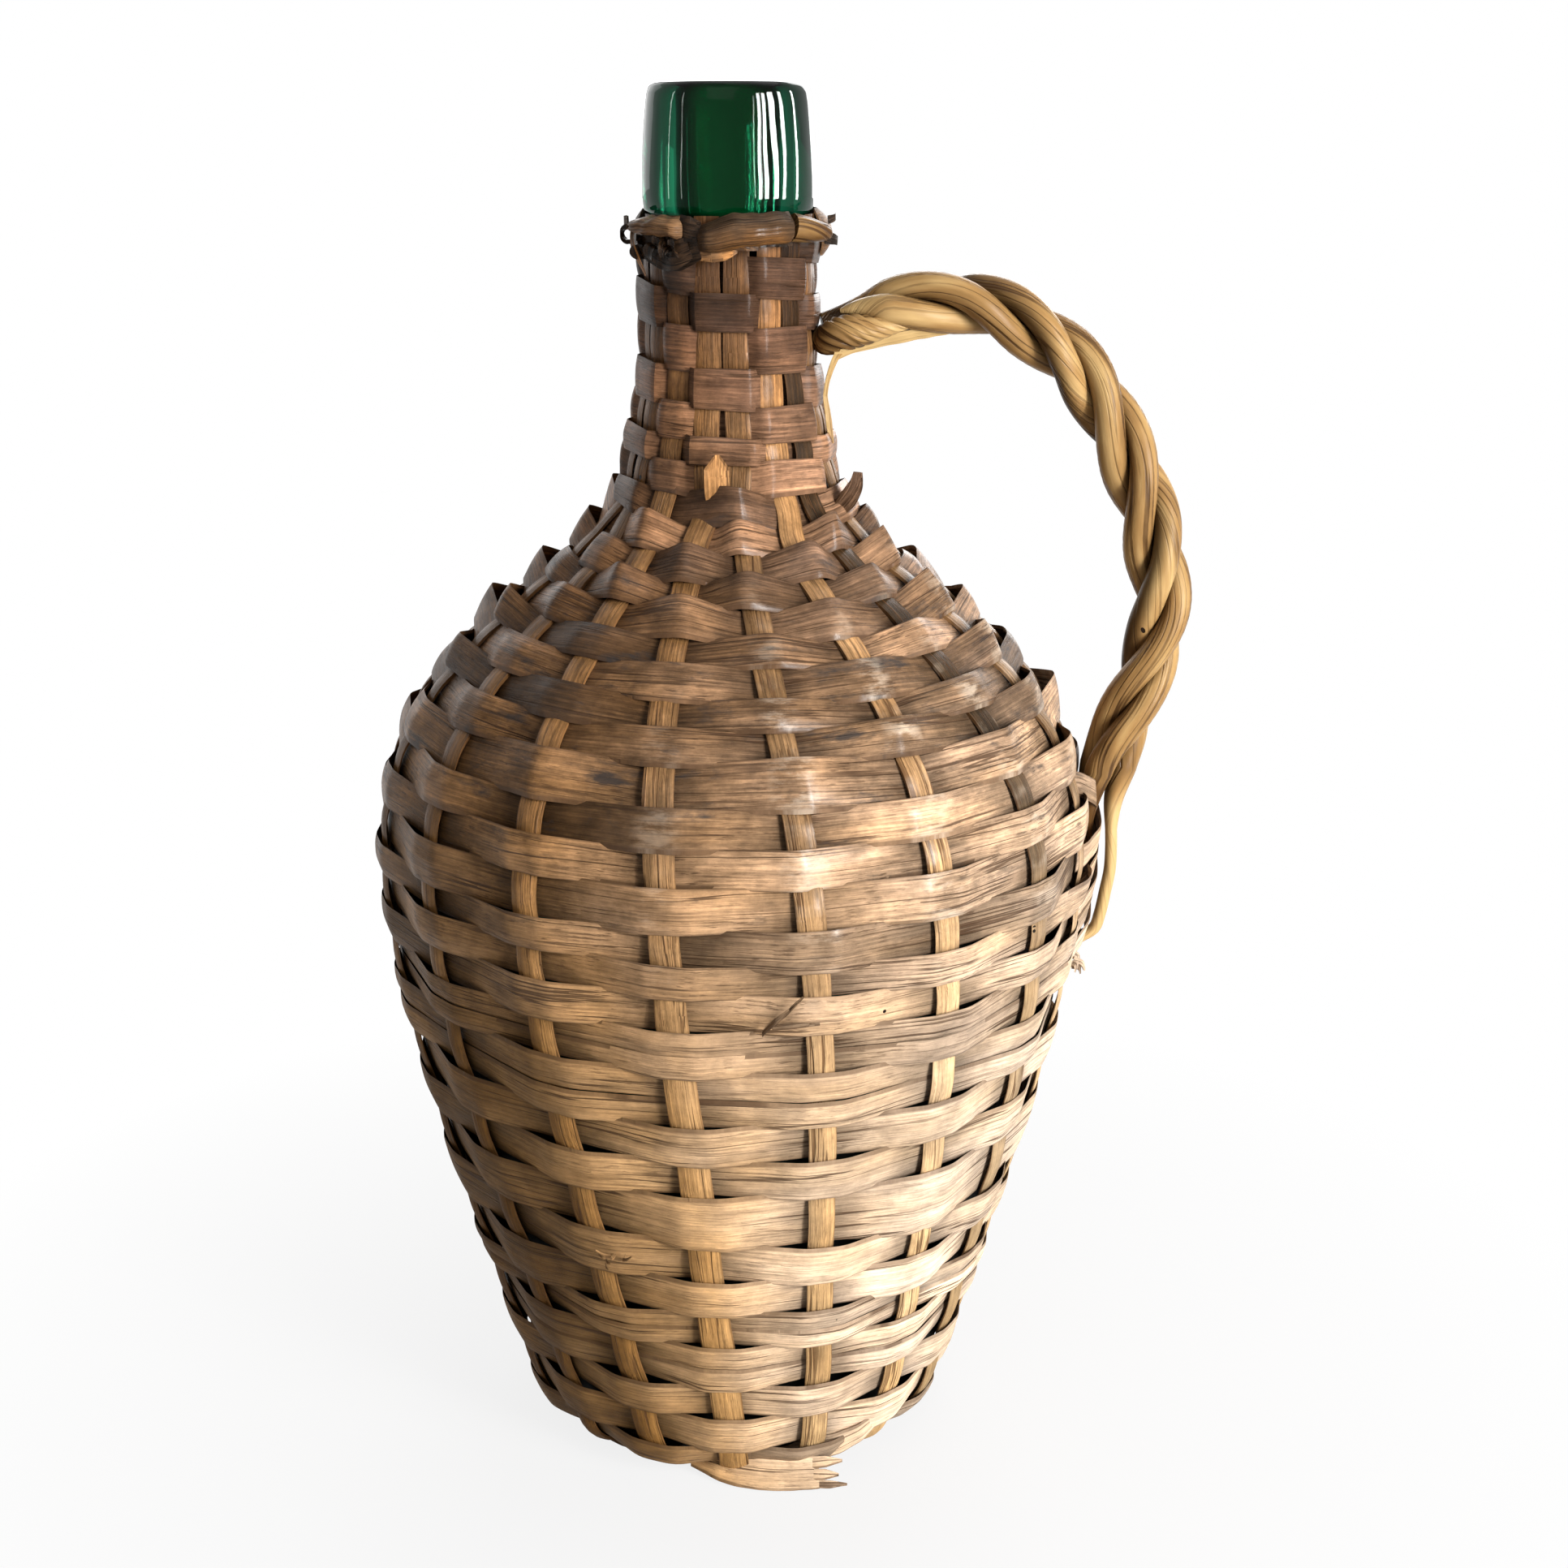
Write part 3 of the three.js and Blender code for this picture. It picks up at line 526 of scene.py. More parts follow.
def splint_material(name, colours_by_height, dark_colour, charred, gloss):
    """Split wood: colour by height on the bottle, painted light and shade by side, then each strip's tone,
    grain, edges, stains, painted shade in the hollows, holes and ridges that are partly a painted highlight.
    """
    material, tree, wood = new_material(name)
    uv = grain_map(tree)
    grain = grain_values(tree, uv)
    place, spot = object_spot(tree)
    patches = clouds(tree, place, 28, 3.0)
    uneven = calc(tree, "MULTIPLY_ADD", patches, 0.16, -0.08)
    level = calc(tree, "ADD", calc(tree, "DIVIDE", spot["Z"], COVER_HEIGHT), uneven)
    colour = ramp(tree, level, *colours_by_height)
    golden = ramp(tree, fibres(tree, uv, 12, 60, 2.0), (0.40, 0.0), (0.65, 1.0))
    colour = tint(tree, "MULTIPLY", times(tree, golden, 0.5), colour, (1.0, 0.90, 0.70, 1))

    # Painted light and shade, with some of the wood's own tint: paler on the lit right side and darker at the
    # shaded lower left.
    side = calc(tree, "MULTIPLY_ADD", patches, 0.43, calc(tree, "MULTIPLY_ADD", spot["X"], 3.6, 0.43))
    left = ramp(tree, calc(tree, "MULTIPLY_ADD", spot["X"], 4.0, 0.5), (0.25, 1.0), (0.60, 0.0))
    low = ramp(tree, level, (0.0, 0.62), (0.30, 0.36), (0.52, 0.0))
    side = calc(tree, "SUBTRACT", side, times(tree, left, low))
    painted_side_light_and_tint = ramp(
        tree, side, (0.0, (0.225, 0.155, 0.078)), (0.12, (0.37, 0.265, 0.140)),
        (0.43, (0.75, 0.590, 0.385)), (0.96, (1.0, 1.0, 1.0)))
    colour = tint(tree, "MULTIPLY", 1.0, colour, painted_side_light_and_tint)

    # Light and dark of each strip and of its fibres, stronger on the shoulder and neck.
    shade = calc(
        tree, "MULTIPLY_ADD", attribute(tree, "tone"), ramp(tree, level, (0.45, 0.50), (0.62, 0.85)), 1.0)
    mottle = clouds(tree, place, 95, 6.0, 0.68)
    shades = ((grain["Fibre"], 0.56, 1.36), (grain["Stain"], 0.66, 1.28), (mottle, 0.74, 1.22))
    for share, lowest, highest in shades:
        shade = times(tree, shade, ramp(tree, share, (0.28, lowest / 2), (0.72, highest / 2)), 2.0)
    contrast = calc(tree, "ADD", ramp(tree, level, (0.42, 0.0), (0.62, 0.75)), 1.0)
    # Where a strip passes behind an upright, or an upright behind the weave, it is darkened: painted shade in
    # the hollows.
    crown = attribute(tree, "crown")
    hollow = ramp(tree, crown, (0.0, 0.42), (0.35, 0.88), (0.7, 1.0))
    shade = times(tree, calc(tree, "POWER", shade, contrast), hollow)
    colour = tint(tree, "MULTIPLY", 1.0, colour, grey(tree, shade))

    # Dark edges that are partly painted shade between rows, dashes and cracks, scorched stains, holes, and
    # ridges rubbed pale with a painted highlight.
    edge = calc(tree, "SUBTRACT", attribute(tree, "rim"), 0.15)
    worn = ramp(tree, calc(tree, "MULTIPLY_ADD", grain["Stain"], 0.30, edge), (0.90, 0.0), (1.0, 0.66))
    dashes = times(tree, grain["Dash"], ramp(tree, level, (0.30, 0.30), (0.52, 0.70)))
    dark = calc(tree, "MAXIMUM", calc(tree, "MAXIMUM", worn, dashes), times(tree, grain["Crack"], 0.85))
    colour = tint(tree, "MIX", dark, colour, (*dark_colour, 1))
    burnt = times(
        tree, ramp(tree, fibres(tree, uv, 42, 120, 5.0, 0.65), (0.57, 0.0), (0.68, 1.0)),
        ramp(tree, level, (0.45, 0.0), (0.58, charred), (0.74, charred), (0.84, 0.0)))
    colour = tint(tree, "MIX", burnt, colour, (0.035, 0.030, 0.028, 1))
    colour = tint(tree, "MIX", grain["Hole"], colour, (0.008, 0.005, 0.003, 1))
    # Pale ridges on the lit right side of the shoulder: partly rubbed wear, partly a painted highlight.
    rubbed_wear_and_painted_highlight = times(
        tree, ramp(tree, crown, (0.90, 0.0), (1.0, 1.0)), ramp(tree, grain["Stain"], (0.48, 0.0), (0.60, 1.0)),
        ramp(tree, level, (0.44, 0.0), (0.52, charred * 0.9), (0.66, charred * 0.8), (0.75, 0.0)),
        ramp(tree, side, (0.55, 0.0), (0.80, 1.0)))
    colour = tint(tree, "MIX", rubbed_wear_and_painted_highlight, colour, (0.54, 0.430, 0.320, 1))
    join(tree, wood["Base Color"], colour)

    dull = calc(tree, "ADD", ramp(tree, level, (0.30, 0.20), (0.55, 0.0)), gloss)
    join(tree, wood["Roughness"], calc(tree, "MULTIPLY_ADD", grain["Stain"], 0.30, dull))
    wood["Specular IOR Level"].default_value = 0.06
    polished = times(
        tree, ramp(tree, level, (0.40, 0.0), (0.52, 0.36), (0.85, 0.24)), crown, crown,
        ramp(tree, grain["Stain"], (0.40, 0.2), (0.60, 1.0)))
    join(tree, wood["Coat Weight"], polished)
    wood["Coat Roughness"].default_value = 0.20
    join(tree, wood["Normal"], raised(tree, grain["Height"], 0.7, 0.0008))
    return material


upright_wood = splint_material(
    "upright_splint_wood",
    [(0.0, (0.64, 0.430, 0.215)), (0.40, (0.68, 0.475, 0.280)), (0.60, (0.49, 0.305, 0.160)),
     (0.78, (0.46, 0.268, 0.125)), (0.88, (0.42, 0.228, 0.104)), (0.955, (0.21, 0.108, 0.052))],
    dark_colour=(0.10, 0.046, 0.018), charred=0.3, gloss=0.24)
for layer in range(LAYERS):
    node = f"upright_splint_{layer + 1}"
    finished_piece(f"{node}_split", upright_mesh(layer), upright_wood, "upright_splint_wood", node)


# Woven splints: thin strips of split wood that go over and under the uprights in one spiral from the collar
# to the base. Each length starts and ends behind an upright; the lower ones are sometimes two strips abreast.
WEAVER_THICKNESS = 0.0012
WOVEN_COUNT, BASE_ROWS = 13, 2
POINTED_SPACING = 0.0304
RIDGED_SHARE = 0.72
WEAVER_STEP = 0.0016
BEND_LENGTH, LOWER_BEND_LENGTH = 0.0019, 0.0006
WEAVER_CUP, LOWER_CUP_LOSS, WEAVER_WAVER = 0.0009, 0.0003, 0.0003
LINES = np.array([-0.25, 0.1, 0.5, 0.9, 1.25])
DOUBLE_SPLINTS = (9, 12)


def row_columns(row):
    if row >= NECK_ROWS:
        return [[i] for i in range(UPRIGHT_COUNT)]
    return [[i, i + 1] if i + 1 < UPRIGHT_COUNT else [i] for i in range(0, UPRIGHT_COUNT, 2)]


def crossing_side(row, column, side):
    """Turn at which a row comes to one side of an upright, or of a pair on the neck."""
    turn = float(row)
    for _ in range(4):
        angles = []
        for distance in (max(float(row_edge(turn)), 0), max(float(row_edge(turn + 1)), 0)):
            half = upright_width(distance) / 2 + WEAVE_GAP
            aside = math.atan(half / glass_at(distance, UPRIGHT_LEVEL)[0])
            angles += [float(upright_angle(i, distance)) + side * aside for i in column]
        angle = min(angles) if side < 0 else max(angles)
        turn = row + (angle - UPRIGHT_START) / math.tau
    return turn


crossings = [
    (crossing_side(row, column, -1), crossing_side(row, column, 1))
    for row in range(-1, ROWS) for column in row_columns(row)]
first_row = len(row_columns(-1))
while crossings[-1][1] > ROWS - 0.5:
    crossings.pop()


def even(count):
    return count - count % 2


base_start = even(next(i for i, (enter, _) in enumerate(crossings) if enter > ROWS - BASE_ROWS) - first_row)
splint_starts = [first_row + even(round(i / WOVEN_COUNT * base_start)) for i in range(WOVEN_COUNT + 1)]
splint_starts[0] = first_row % 2


def strip_stations(first, last, draw):
    """Where a strip bends, as turns, levels and half spans, and how it lies at the middle of each crossing."""
    stations, middles, over, loose = [], [], [], []
    for c in range(first, last + 1):
        enter, leave = crossings[c]
        middle = (enter + leave) / 2
        behind = (c - first) % 2 == 0
        radius = glass_at(float(row_edge(middle + 0.5)), UPRIGHT_LEVEL)[0]
        pointed = behind and radius * column_spacing > POINTED_SPACING
        on_shoulder = NECK_ROWS - 1 < middle < UPPER_ROWS - 3.5 + draw.uniform(-2.5, 1.5)
        ridged = on_shoulder and not behind and draw.random() < RIDGED_SHARE
        fading = min(1.0, max(0.25, (UPPER_ROWS - 2 - middle) / 6))
        aside = math.remainder(middle * math.tau + UPRIGHT_START, math.tau)
        beside_handle = abs(aside) < 0.5 and NECK_ROWS + 5 < middle < UPPER_ROWS + 1
        level = INNER_LEVEL if behind else OUTER_LEVEL + draw.uniform(0.0, 0.0004)
        if ridged:
            level += (0.0008 + draw.uniform(0.0, 0.0018)) * fading
        spring = draw.uniform(0.0008, 0.0040) * fading if ridged else draw.uniform(0.0, 0.0005)
        if beside_handle:
            spring += draw.uniform(0.0010, 0.0035)
        ridge = middle + (draw.uniform(-0.30, 0.30) * (leave - enter) if ridged else 0.0)
        for turn in ([ridge] if pointed or ridged else [enter, leave]):
            stations.append((turn, level, abs(turn - middle) * math.tau))
        middles.append(middle)
        over.append(0.0 if behind else 1.0)
        loose.append(0.0 if behind else spring)
    return [np.array(column) for column in zip(*stations)], middles, over, loose


def woven_strip(mesh_maker, first, last, low, high, seed):
    """One strip from crossing to crossing, between two shares of its row's width."""
    draw = random.Random(seed)
    (turns, levels, half_spans), middles, over, loose = strip_stations(first, last, draw)
    upper = row_edge(turns) + row_waver(turns)
    lower = np.maximum(row_edge(turns + 1) + row_waver(turns + 1) + ROW_GAP, 0.0)
    distance = np.clip(lower[:, None] + (upper - lower)[:, None] * LINES, 0.0, outline_run[-1])
    radius, height, out_r, out_z = glass_at(distance, levels[:, None] + stand_off(distance))
    sag = radius * (1 / np.cos(half_spans)[:, None] - 1) * out_r
    angle = (turns * math.tau + UPRIGHT_START)[:, None]
    corners = round_about(radius + out_r * sag, angle, height + out_z * sag)

    around = radius[:, 2] * math.tau
    steps = [
        np.linspace(a, b, max(2, int((b - a) * length / WEAVER_STEP)), endpoint=False)
        for a, b, length in zip(turns, turns[1:], around)]
    fine = np.concatenate(steps + [turns[-1:]])
    lower_body = on_lower_body(fine)
    soften = (BEND_LENGTH + LOWER_BEND_LENGTH * lower_body) / np.interp(fine, turns, around)
    base = np.zeros((len(fine), len(LINES), 3))
    for shift in (-1.0, -0.5, 0.0, 0.5, 1.0):
        at = np.clip(fine + shift * soften, turns[0], turns[-1])
        for line, axis in np.ndindex(base.shape[1:]):
            base[:, line, axis] += np.interp(at, turns, corners[:, line, axis]) / 5
    run = run_along(base[:, 2])

    overness = 0.5 - 0.5 * np.cos(math.pi * np.interp(fine, middles, over))
    slack = 0.5 + 0.5 * ripples(fine, seed * 7.9, 0.11)
    swell = 0.03 * overness + (0.02 - 0.11 * lower_body * slack) * (1 - overness) ** 2
    trim = draw.uniform(0.01, 0.07)
    drift = 0.03 * ripples(run, seed * 1.7, 0.11)
    spans = np.linspace(0.0, 1.0, 9 if high - low > 0.6 else 6)
    edge_low = low + 0.035 * ripples(run, seed * 2.3 + 11, 0.045)
    edge_high = high + 0.035 * ripples(run, seed * 2.9 + 23, 0.045)
    fray = 0.012 * ripples(run, seed * 3.1 + 37, 0.009)
    share = (edge_low + fray)[:, None] + (edge_high - edge_low - fray)[:, None] * spans
    share = 0.5 + (share - 0.5) * (1 + 2 * swell + trim)[:, None] + drift[:, None]
    share = np.clip(share, LINES[0], LINES[-1])

    points = np.zeros((len(fine), len(spans), 3))
    for i, axis in np.ndindex(len(fine), 3):
        points[i, :, axis] = np.interp(share[i], LINES, base[i, :, axis])
    _, _, out_r, out_z = glass_at(np.clip(row_edge(fine + 0.5), 0.0, None))
    outwards = round_about(out_r, fine * math.tau + UPRIGHT_START, out_z)
    cup = (WEAVER_CUP - LOWER_CUP_LOSS * lower_body) * (0.3 + 0.7 * overness)
    cup = cup[:, None] * (1 - (2 * spans - 1) ** 2)
    flare = (np.interp(fine, middles, loose) * overness)[:, None] * spans ** 1.4
    tilt = WEAVER_WAVER * (2 * spans - 1)
    waver = WEAVER_WAVER * ripples(run, seed * 5.9, 0.02)[:, None]
    points += outwards[:, None] * (WEAVER_THICKNESS / 2 + cup + flare + tilt + waver)[:, :, None]
    width = np.linalg.norm(points[:, -1] - points[:, 0], axis=1)
    across = width[:, None] * (spans - 0.5) + seed * 0.61
    tones = draw.uniform(-0.4, 0.4) + 1.1 * ripples(run, seed * 6.7, 0.10)
    add_splint(mesh_maker, points, WEAVER_THICKNESS, run, across, tones, overness)


woven_wood = splint_material(
    "woven_splint_wood",
    [(0.0, (0.57, 0.440, 0.325)), (0.12, (0.72, 0.565, 0.430)), (0.36, (0.70, 0.540, 0.400)),
     (0.50, (0.45, 0.315, 0.212)), (0.64, (0.285, 0.183, 0.115)), (0.78, (0.165, 0.098, 0.064)),
     (0.90, (0.090, 0.050, 0.034)), (0.97, (0.048, 0.029, 0.021))],
    dark_colour=(0.060, 0.030, 0.015), charred=0.85, gloss=0.24)
for i in range(WOVEN_COUNT + 1):
    is_base = i == WOVEN_COUNT
    node = "base_splint" if is_base else f"woven_splint_{i + 1:02d}"
    first = splint_starts[i]
    last = first + even(len(crossings) - 1 - first) if is_base else splint_starts[i + 1]
    mesh_maker = bmesh.new()
    if i + 1 in DOUBLE_SPLINTS:
        woven_strip(mesh_maker, first, last, 0.0, 0.48, i + 1)
        woven_strip(mesh_maker, first, last, 0.51, 1.0, i + 31)
    else:
        woven_strip(mesh_maker, first, last, 0.0, 1.0, i + 1)
    finished_piece(f"{node}_split", mesh_maker, woven_wood, "woven_splint_wood", node)


# Handle: three peeled willow rods, laid together while green, from the neck over a crown and down to the
# belly. At the neck they are drawn in and bound; at the belly two of them run on down along the cover.
COVER, ROD_SEAT = 0.0061, 0.008475
ROD_COUNT, ROD_RADIUS, LAY_RADIUS, ROD_LAY = 3, 0.0049, 0.0056, 0.083
ROD_SIDES, ROD_STEP, ROD_TWIST = 20, 0.002, 0.38
NECK_FACE, NECK_END_Z, CROWN_Z, DRAWN_IN_RUN = 0.0298, 0.381, 0.388, 0.022
HANDLE_REACH, BOW_DROP = 0.1425, 0.100
HANDLE_BOW = ((0.42, 0.0), (0.68, 0.15), (0.86, 0.43), (0.97, 0.75), (1.0, 1.0))
SEAT_Z, TAIL, TWIST_STOP = 0.222, 0.054, 0.0085
LOWER_SINK, SINK_START_Z, SINK_RUN = 0.0045, 0.285, 0.055
SHORT_ROD, LATE_ROD, LATE_START = 0, 2, 0.0066
TAIL_RADIUS = {0: 0.0022, 1: 0.0016, 2: 0.0018}
SPLIT_TAIL = (
    (129.8, -2.2, 222.5), (129.1, -4.4, 214.5), (129.2, -5.8, 206.5), (129.0, -6.4, 198.5),
    (127.7, -6.6, 190.5), (126.2, -6.4, 182), (124.6, -6.2, 177), (119.8, -5.8, 173.6))


def cover_radius(height):
    """Radius of the cover's outside at a height."""
    return float(glass_at(distance_at_height(height), COVER)[0])


seat_x = cover_radius(SEAT_Z) + ROD_SEAT
handle_stops = np.array(
    [(NECK_FACE, NECK_END_Z), (NECK_FACE + 0.0135, NECK_END_Z + 0.003)]
    + [(NECK_FACE + out * (HANDLE_REACH - NECK_FACE), CROWN_Z - down * BOW_DROP) for out, down in HANDLE_BOW]
    + [(HANDLE_REACH + 0.4 * (seat_x - HANDLE_REACH), (CROWN_Z - BOW_DROP + SEAT_Z) / 2)]
    + [(cover_radius(z) + ROD_SEAT, z) for z in (SEAT_Z, SEAT_Z - TAIL / 2, SEAT_Z - TAIL)])


def smooth_line(stops, per_span=40):
    """Centripetal Catmull-Rom curve through points, evenly spaced along its length."""
    ends = [2 * stops[0] - stops[1], *stops, 2 * stops[-1] - stops[-2]]
    points = []
    for a, b, c, d in zip(ends, ends[1:], ends[2:], ends[3:]):
        t1 = np.linalg.norm(b - a) ** 0.5
        t2 = t1 + np.linalg.norm(c - b) ** 0.5
        t3 = t2 + np.linalg.norm(d - c) ** 0.5
        t = np.linspace(t1, t2, per_span, endpoint=False)[:, None]
        ab = ((t1 - t) * a + t * b) / t1
        bc = ((t2 - t) * b + (t - t1) * c) / (t2 - t1)
        cd = ((t3 - t) * c + (t - t2) * d) / (t3 - t2)
        abc = ((t2 - t) * ab + t * bc) / t2
        bcd = ((t3 - t) * bc + (t - t1) * cd) / (t3 - t1)
        points.append(((t2 - t) * abc + (t - t1) * bcd) / (t2 - t1))
    line = np.concatenate(points + [stops[-1:]])
    run = run_along(line)
    even_run = np.linspace(0, run[-1], len(line))
    return np.stack([np.interp(even_run, run, line[:, k]) for k in range(line.shape[1])], axis=1), even_run


def smooth_step(share):
    return share ** 2 * (3 - 2 * share)


def unit(vectors):
    return vectors / np.maximum(np.linalg.norm(vectors, axis=1), 1e-9)[:, None]


handle_line, handle_run = smooth_line(handle_stops)
handle_slope = np.gradient(handle_line, handle_run, axis=0)
lower_half = handle_run > handle_run[-1] / 2
twist_end = float(np.interp(-(SEAT_Z + TWIST_STOP), -handle_line[lower_half, 1], handle_run[lower_half]))
twist_ease = 2 * (LAY_RADIUS + ROD_RADIUS)


def rod_line(index, along):
    """Middle of a rod that winds round the handle's line, and the line itself."""
    left = np.maximum(twist_end - along, 0)
    eased_end = np.where(left < twist_ease, left ** 2 / (2 * twist_ease), left - twist_ease / 2)
    eased_start = np.where(along < twist_ease, (twist_ease - along) ** 2 / (2 * twist_ease), 0)
    wound = math.tau * (index / ROD_COUNT - (eased_end - eased_start) / ROD_LAY)
    x, z = (np.interp(along, handle_run, handle_line[:, k]) for k in (0, 1))
    slope_x, slope_z = (np.interp(along, handle_run, handle_slope[:, k]) for k in (0, 1))
    drawn_in = LAY_RADIUS * (0.55 + 0.45 * np.clip(along / DRAWN_IN_RUN, 0, 1))
    out = drawn_in * np.cos(wound)
    sunk = smooth_step(np.clip((SINK_START_Z - z) / SINK_RUN, 0, 1))
    middle = np.stack([x - LOWER_SINK * sunk, 0 * x, z], axis=1)
    return middle + np.stack([-slope_z * out, -drawn_in * np.sin(wound), slope_x * out], axis=1), middle


def add_rod(mesh_maker, line, inner, radius, sides, twist, seed, tone=0.0, strands=0):
    """Adds a closed round rod along a line to a bmesh, with its grain seam turned towards the inner points."""
    run = run_along(line)
    along = unit(np.gradient(line, run, axis=0))
    inwards = inner - line
    inwards = unit(inwards - along * np.sum(inwards * along, axis=1)[:, None])
    sideways = np.cross(along, inwards)
    angles = math.tau * np.arange(sides + 1) / sides
    points = np.zeros((len(line), sides + 1, 3))
    for i, j in np.ndindex(len(line), sides + 1):
        cosine, sine = math.cos(angles[j]), math.sin(angles[j])
        swell = 1 + 0.05 * ripple(run[i] / 0.03, seed) + 0.05 * ripple(cosine, sine + seed, run[i] / 0.05)
        swell -= 0.10 * max(cosine, 0) ** 2
        if strands:
            swell += 0.09 * math.cos(strands * (angles[j] + twist * run[i] / radius.max()))
        points[i, j] = line[i] + (inwards[i] * cosine + sideways[i] * sine) * radius[i] * swell
    across = angles * radius[:, None] + twist * run[:, None] + seed
    tones = np.broadcast_to(tone, len(line))[:, None]
    corners, _ = lay_grid(mesh_maker, points, run, across, tone=tones, crown=0.5 - 0.5 * np.cos(angles))
    bmesh.ops.remove_doubles(mesh_maker, verts=corners, dist=1e-7)
    rims = [edge for edge in mesh_maker.edges if edge.is_boundary]
    bmesh.ops.holes_fill(mesh_maker, edges=rims, sides=0)
    bmesh.ops.recalc_face_normals(mesh_maker, faces=mesh_maker.faces)


willow, tree, bark = new_material("handle_willow")
uv = grain_map(tree)
grain = grain_values(tree, stretch(tree, uv, 0.6, 0.45))
tone = calc(tree, "ADD", fibres(tree, uv, 26, 110, 4.0), times(tree, attribute(tree, "tone"), 0.35))
colour = ramp(
    tree, tone, (0.26, (0.095, 0.045, 0.014)), (0.5, (0.280, 0.158, 0.056)), (0.74, (0.48, 0.322, 0.138)))
# The inner side of a rod, towards the bundle or the neck, is darkened: painted shade in the grooves.
hollow = ramp(tree, attribute(tree, "crown"), (0.1, 0.35), (0.55, 1.0))
shade = times(tree, calc(tree, "MULTIPLY_ADD", grain["Fibre"], 0.5, 0.75), hollow)
colour = tint(tree, "MULTIPLY", 1.0, colour, grey(tree, shade))
cracks = times(
    tree, ramp(tree, contours(tree, uv, 6, 230, 2.0, 0.4), (0.009, 1.0), (0.026, 0.0)),
    ramp(tree, tone, (0.38, 1.0), (0.66, 0.20)))
colour = tint(tree, "MIX", times(tree, cracks, 0.9), colour, (0.045, 0.020, 0.007, 1))
colour = tint(tree, "MIX", pin_holes(tree, uv, 45, 60, 0.050, 0.72), colour, (0.012, 0.006, 0.003, 1))
join(tree, bark["Base Color"], colour)
join(tree, bark["Roughness"], calc(tree, "MULTIPLY_ADD", grain["Stain"], 0.30, 0.18))
bark["Specular IOR Level"].default_value = 0.12
relief = calc(tree, "SUBTRACT", times(tree, grain["Height"], 0.4), cracks)
join(tree, bark["Normal"], raised(tree, relief, 0.5, 0.0006))
for index in range(ROD_COUNT):
    length = twist_end - 0.004 if index == SHORT_ROD else handle_run[-1]
    begin = LATE_START if index == LATE_ROD else 0.0
    along = np.linspace(begin, length, int((length - begin) / ROD_STEP))
    line, middle = rod_line(index, along)
    radius = ROD_RADIUS * (0.70 + 0.30 * np.clip(along / DRAWN_IN_RUN, 0, 1))
    past = along - twist_end
    if index == SHORT_ROD:
        joined, _ = smooth_line(np.concatenate([line[:-1:6], line[-1:], np.array(SPLIT_TAIL) / 1000]), 8)
        radius = np.interp(np.linspace(0, 1, len(joined)), np.linspace(0, 1, len(line)), radius)
        thinned = np.clip((line[-1, 2] - joined[:, 2]) / 0.020, 0, 1) * (joined[:, 2] < 0.25)
        tone = 0.9 * thinned
        line, middle = joined, joined * np.array([0.9, 0.9, 1.0])
    elif index == LATE_ROD:
        radius = radius * np.clip((along - begin + 0.0012) / 0.016, 0, 1) ** 0.6
        thinned = np.clip((past + 0.002) / 0.020, 0, 1)
        tone = 0.9 * np.clip(1 - (along - begin) / 0.035, 0, 1)
    else:
        thinned = np.clip((past + 0.002) / 0.018, 0, 1)
        tone = -0.5 * np.clip(1 - along / 0.025, 0, 1) - 0.9 * np.clip(past / 0.01, 0, 1)
    radius = radius + (TAIL_RADIUS[index] - radius) * thinned
    rod_mesh = bmesh.new()
    add_rod(rod_mesh, line, middle, radius, ROD_SIDES, ROD_TWIST, 3.0 + index, tone)
    node = f"handle_rod_{index + 1}"
    finished_piece(f"{node}_willow", rod_mesh, willow, "handle_willow", node, sharp_angle=60)


# Handle bindings: at the neck the thin end of a rod is twisted until its fibres open, wound over the others
# and drawn into the weave; at the belly splints go over the rods one below the other, tucked under the rows.
def loose_splint(mesh_maker, stops, widths, edge, thickness, seed, tone=0.0, crown=0.8, bow=0.0):
    """Adds a free strip through points in millimetres, with its width along a given direction."""
    line, run = smooth_line(np.array(stops) / 1000, 8)
    along = unit(np.gradient(line, run, axis=0))
    edge = np.array(edge, dtype=float)
    sideways = unit(edge - along * (along @ edge)[:, None])
    outwards = np.cross(along, sideways)
    width = np.interp(run / run[-1], np.linspace(0, 1, len(widths)), widths)[:, None] / 1000
    spans = np.linspace(-0.5, 0.5, 5)
    lift = bow * width * (1 - (2 * spans) ** 2) + 0.0003 * ripples(run, seed * 3.3, 0.004)[:, None]
    points = line[:, None] + sideways[:, None] * (width * spans)[:, :, None]
    points += outwards[:, None] * lift[:, :, None]
    tones, crowns = (np.full(len(line), value) for value in (tone, crown))
    add_splint(mesh_maker, points, thickness / 1000, run, width * spans + seed, tones, crowns)


BINDING = [
    (60, -5.0, 382.5, 1.3), (52, -6.2, 381.2, 2.6), (45, -6.8, 380.2, 4.2), (38.5, -6.4, 379.4, 5.3),
    (33.5, -5.0, 377.8, 5.3), (30.5, -2.0, 376.6, 4.4), (29.0, 2.0, 377.5, 3.0)]
UNDERSIDE = [
    (78, -2.0, 381.6), (66, -3.6, 379.8), (55, -4.8, 378.0), (45, -5.8, 376.0), (38, -7.4, 374.2),
    (34.0, -7.6, 372.4)]
SLIVER = [
    (35.6, -8.2, 374.4), (33.4, -7.6, 370.6), (31.6, -6.6, 365.0), (30.8, -6.0, 359.6), (31.6, -6.4, 354.0),
    (32.8, -8.0, 345.0)]
binding_line, binding_run = smooth_line(np.array(BINDING) / 1000, 9)
binding_tone = 0.3 - 0.9 * binding_run / binding_run[-1]
binding_core = binding_line[:, :3] + np.array([0.0, 0.02, 0.0])
binding_mesh = bmesh.new()
add_rod(
    binding_mesh, binding_line[:, :3], binding_core, binding_line[:, 3], 40, -1.3, 9.0, binding_tone, strands=9)
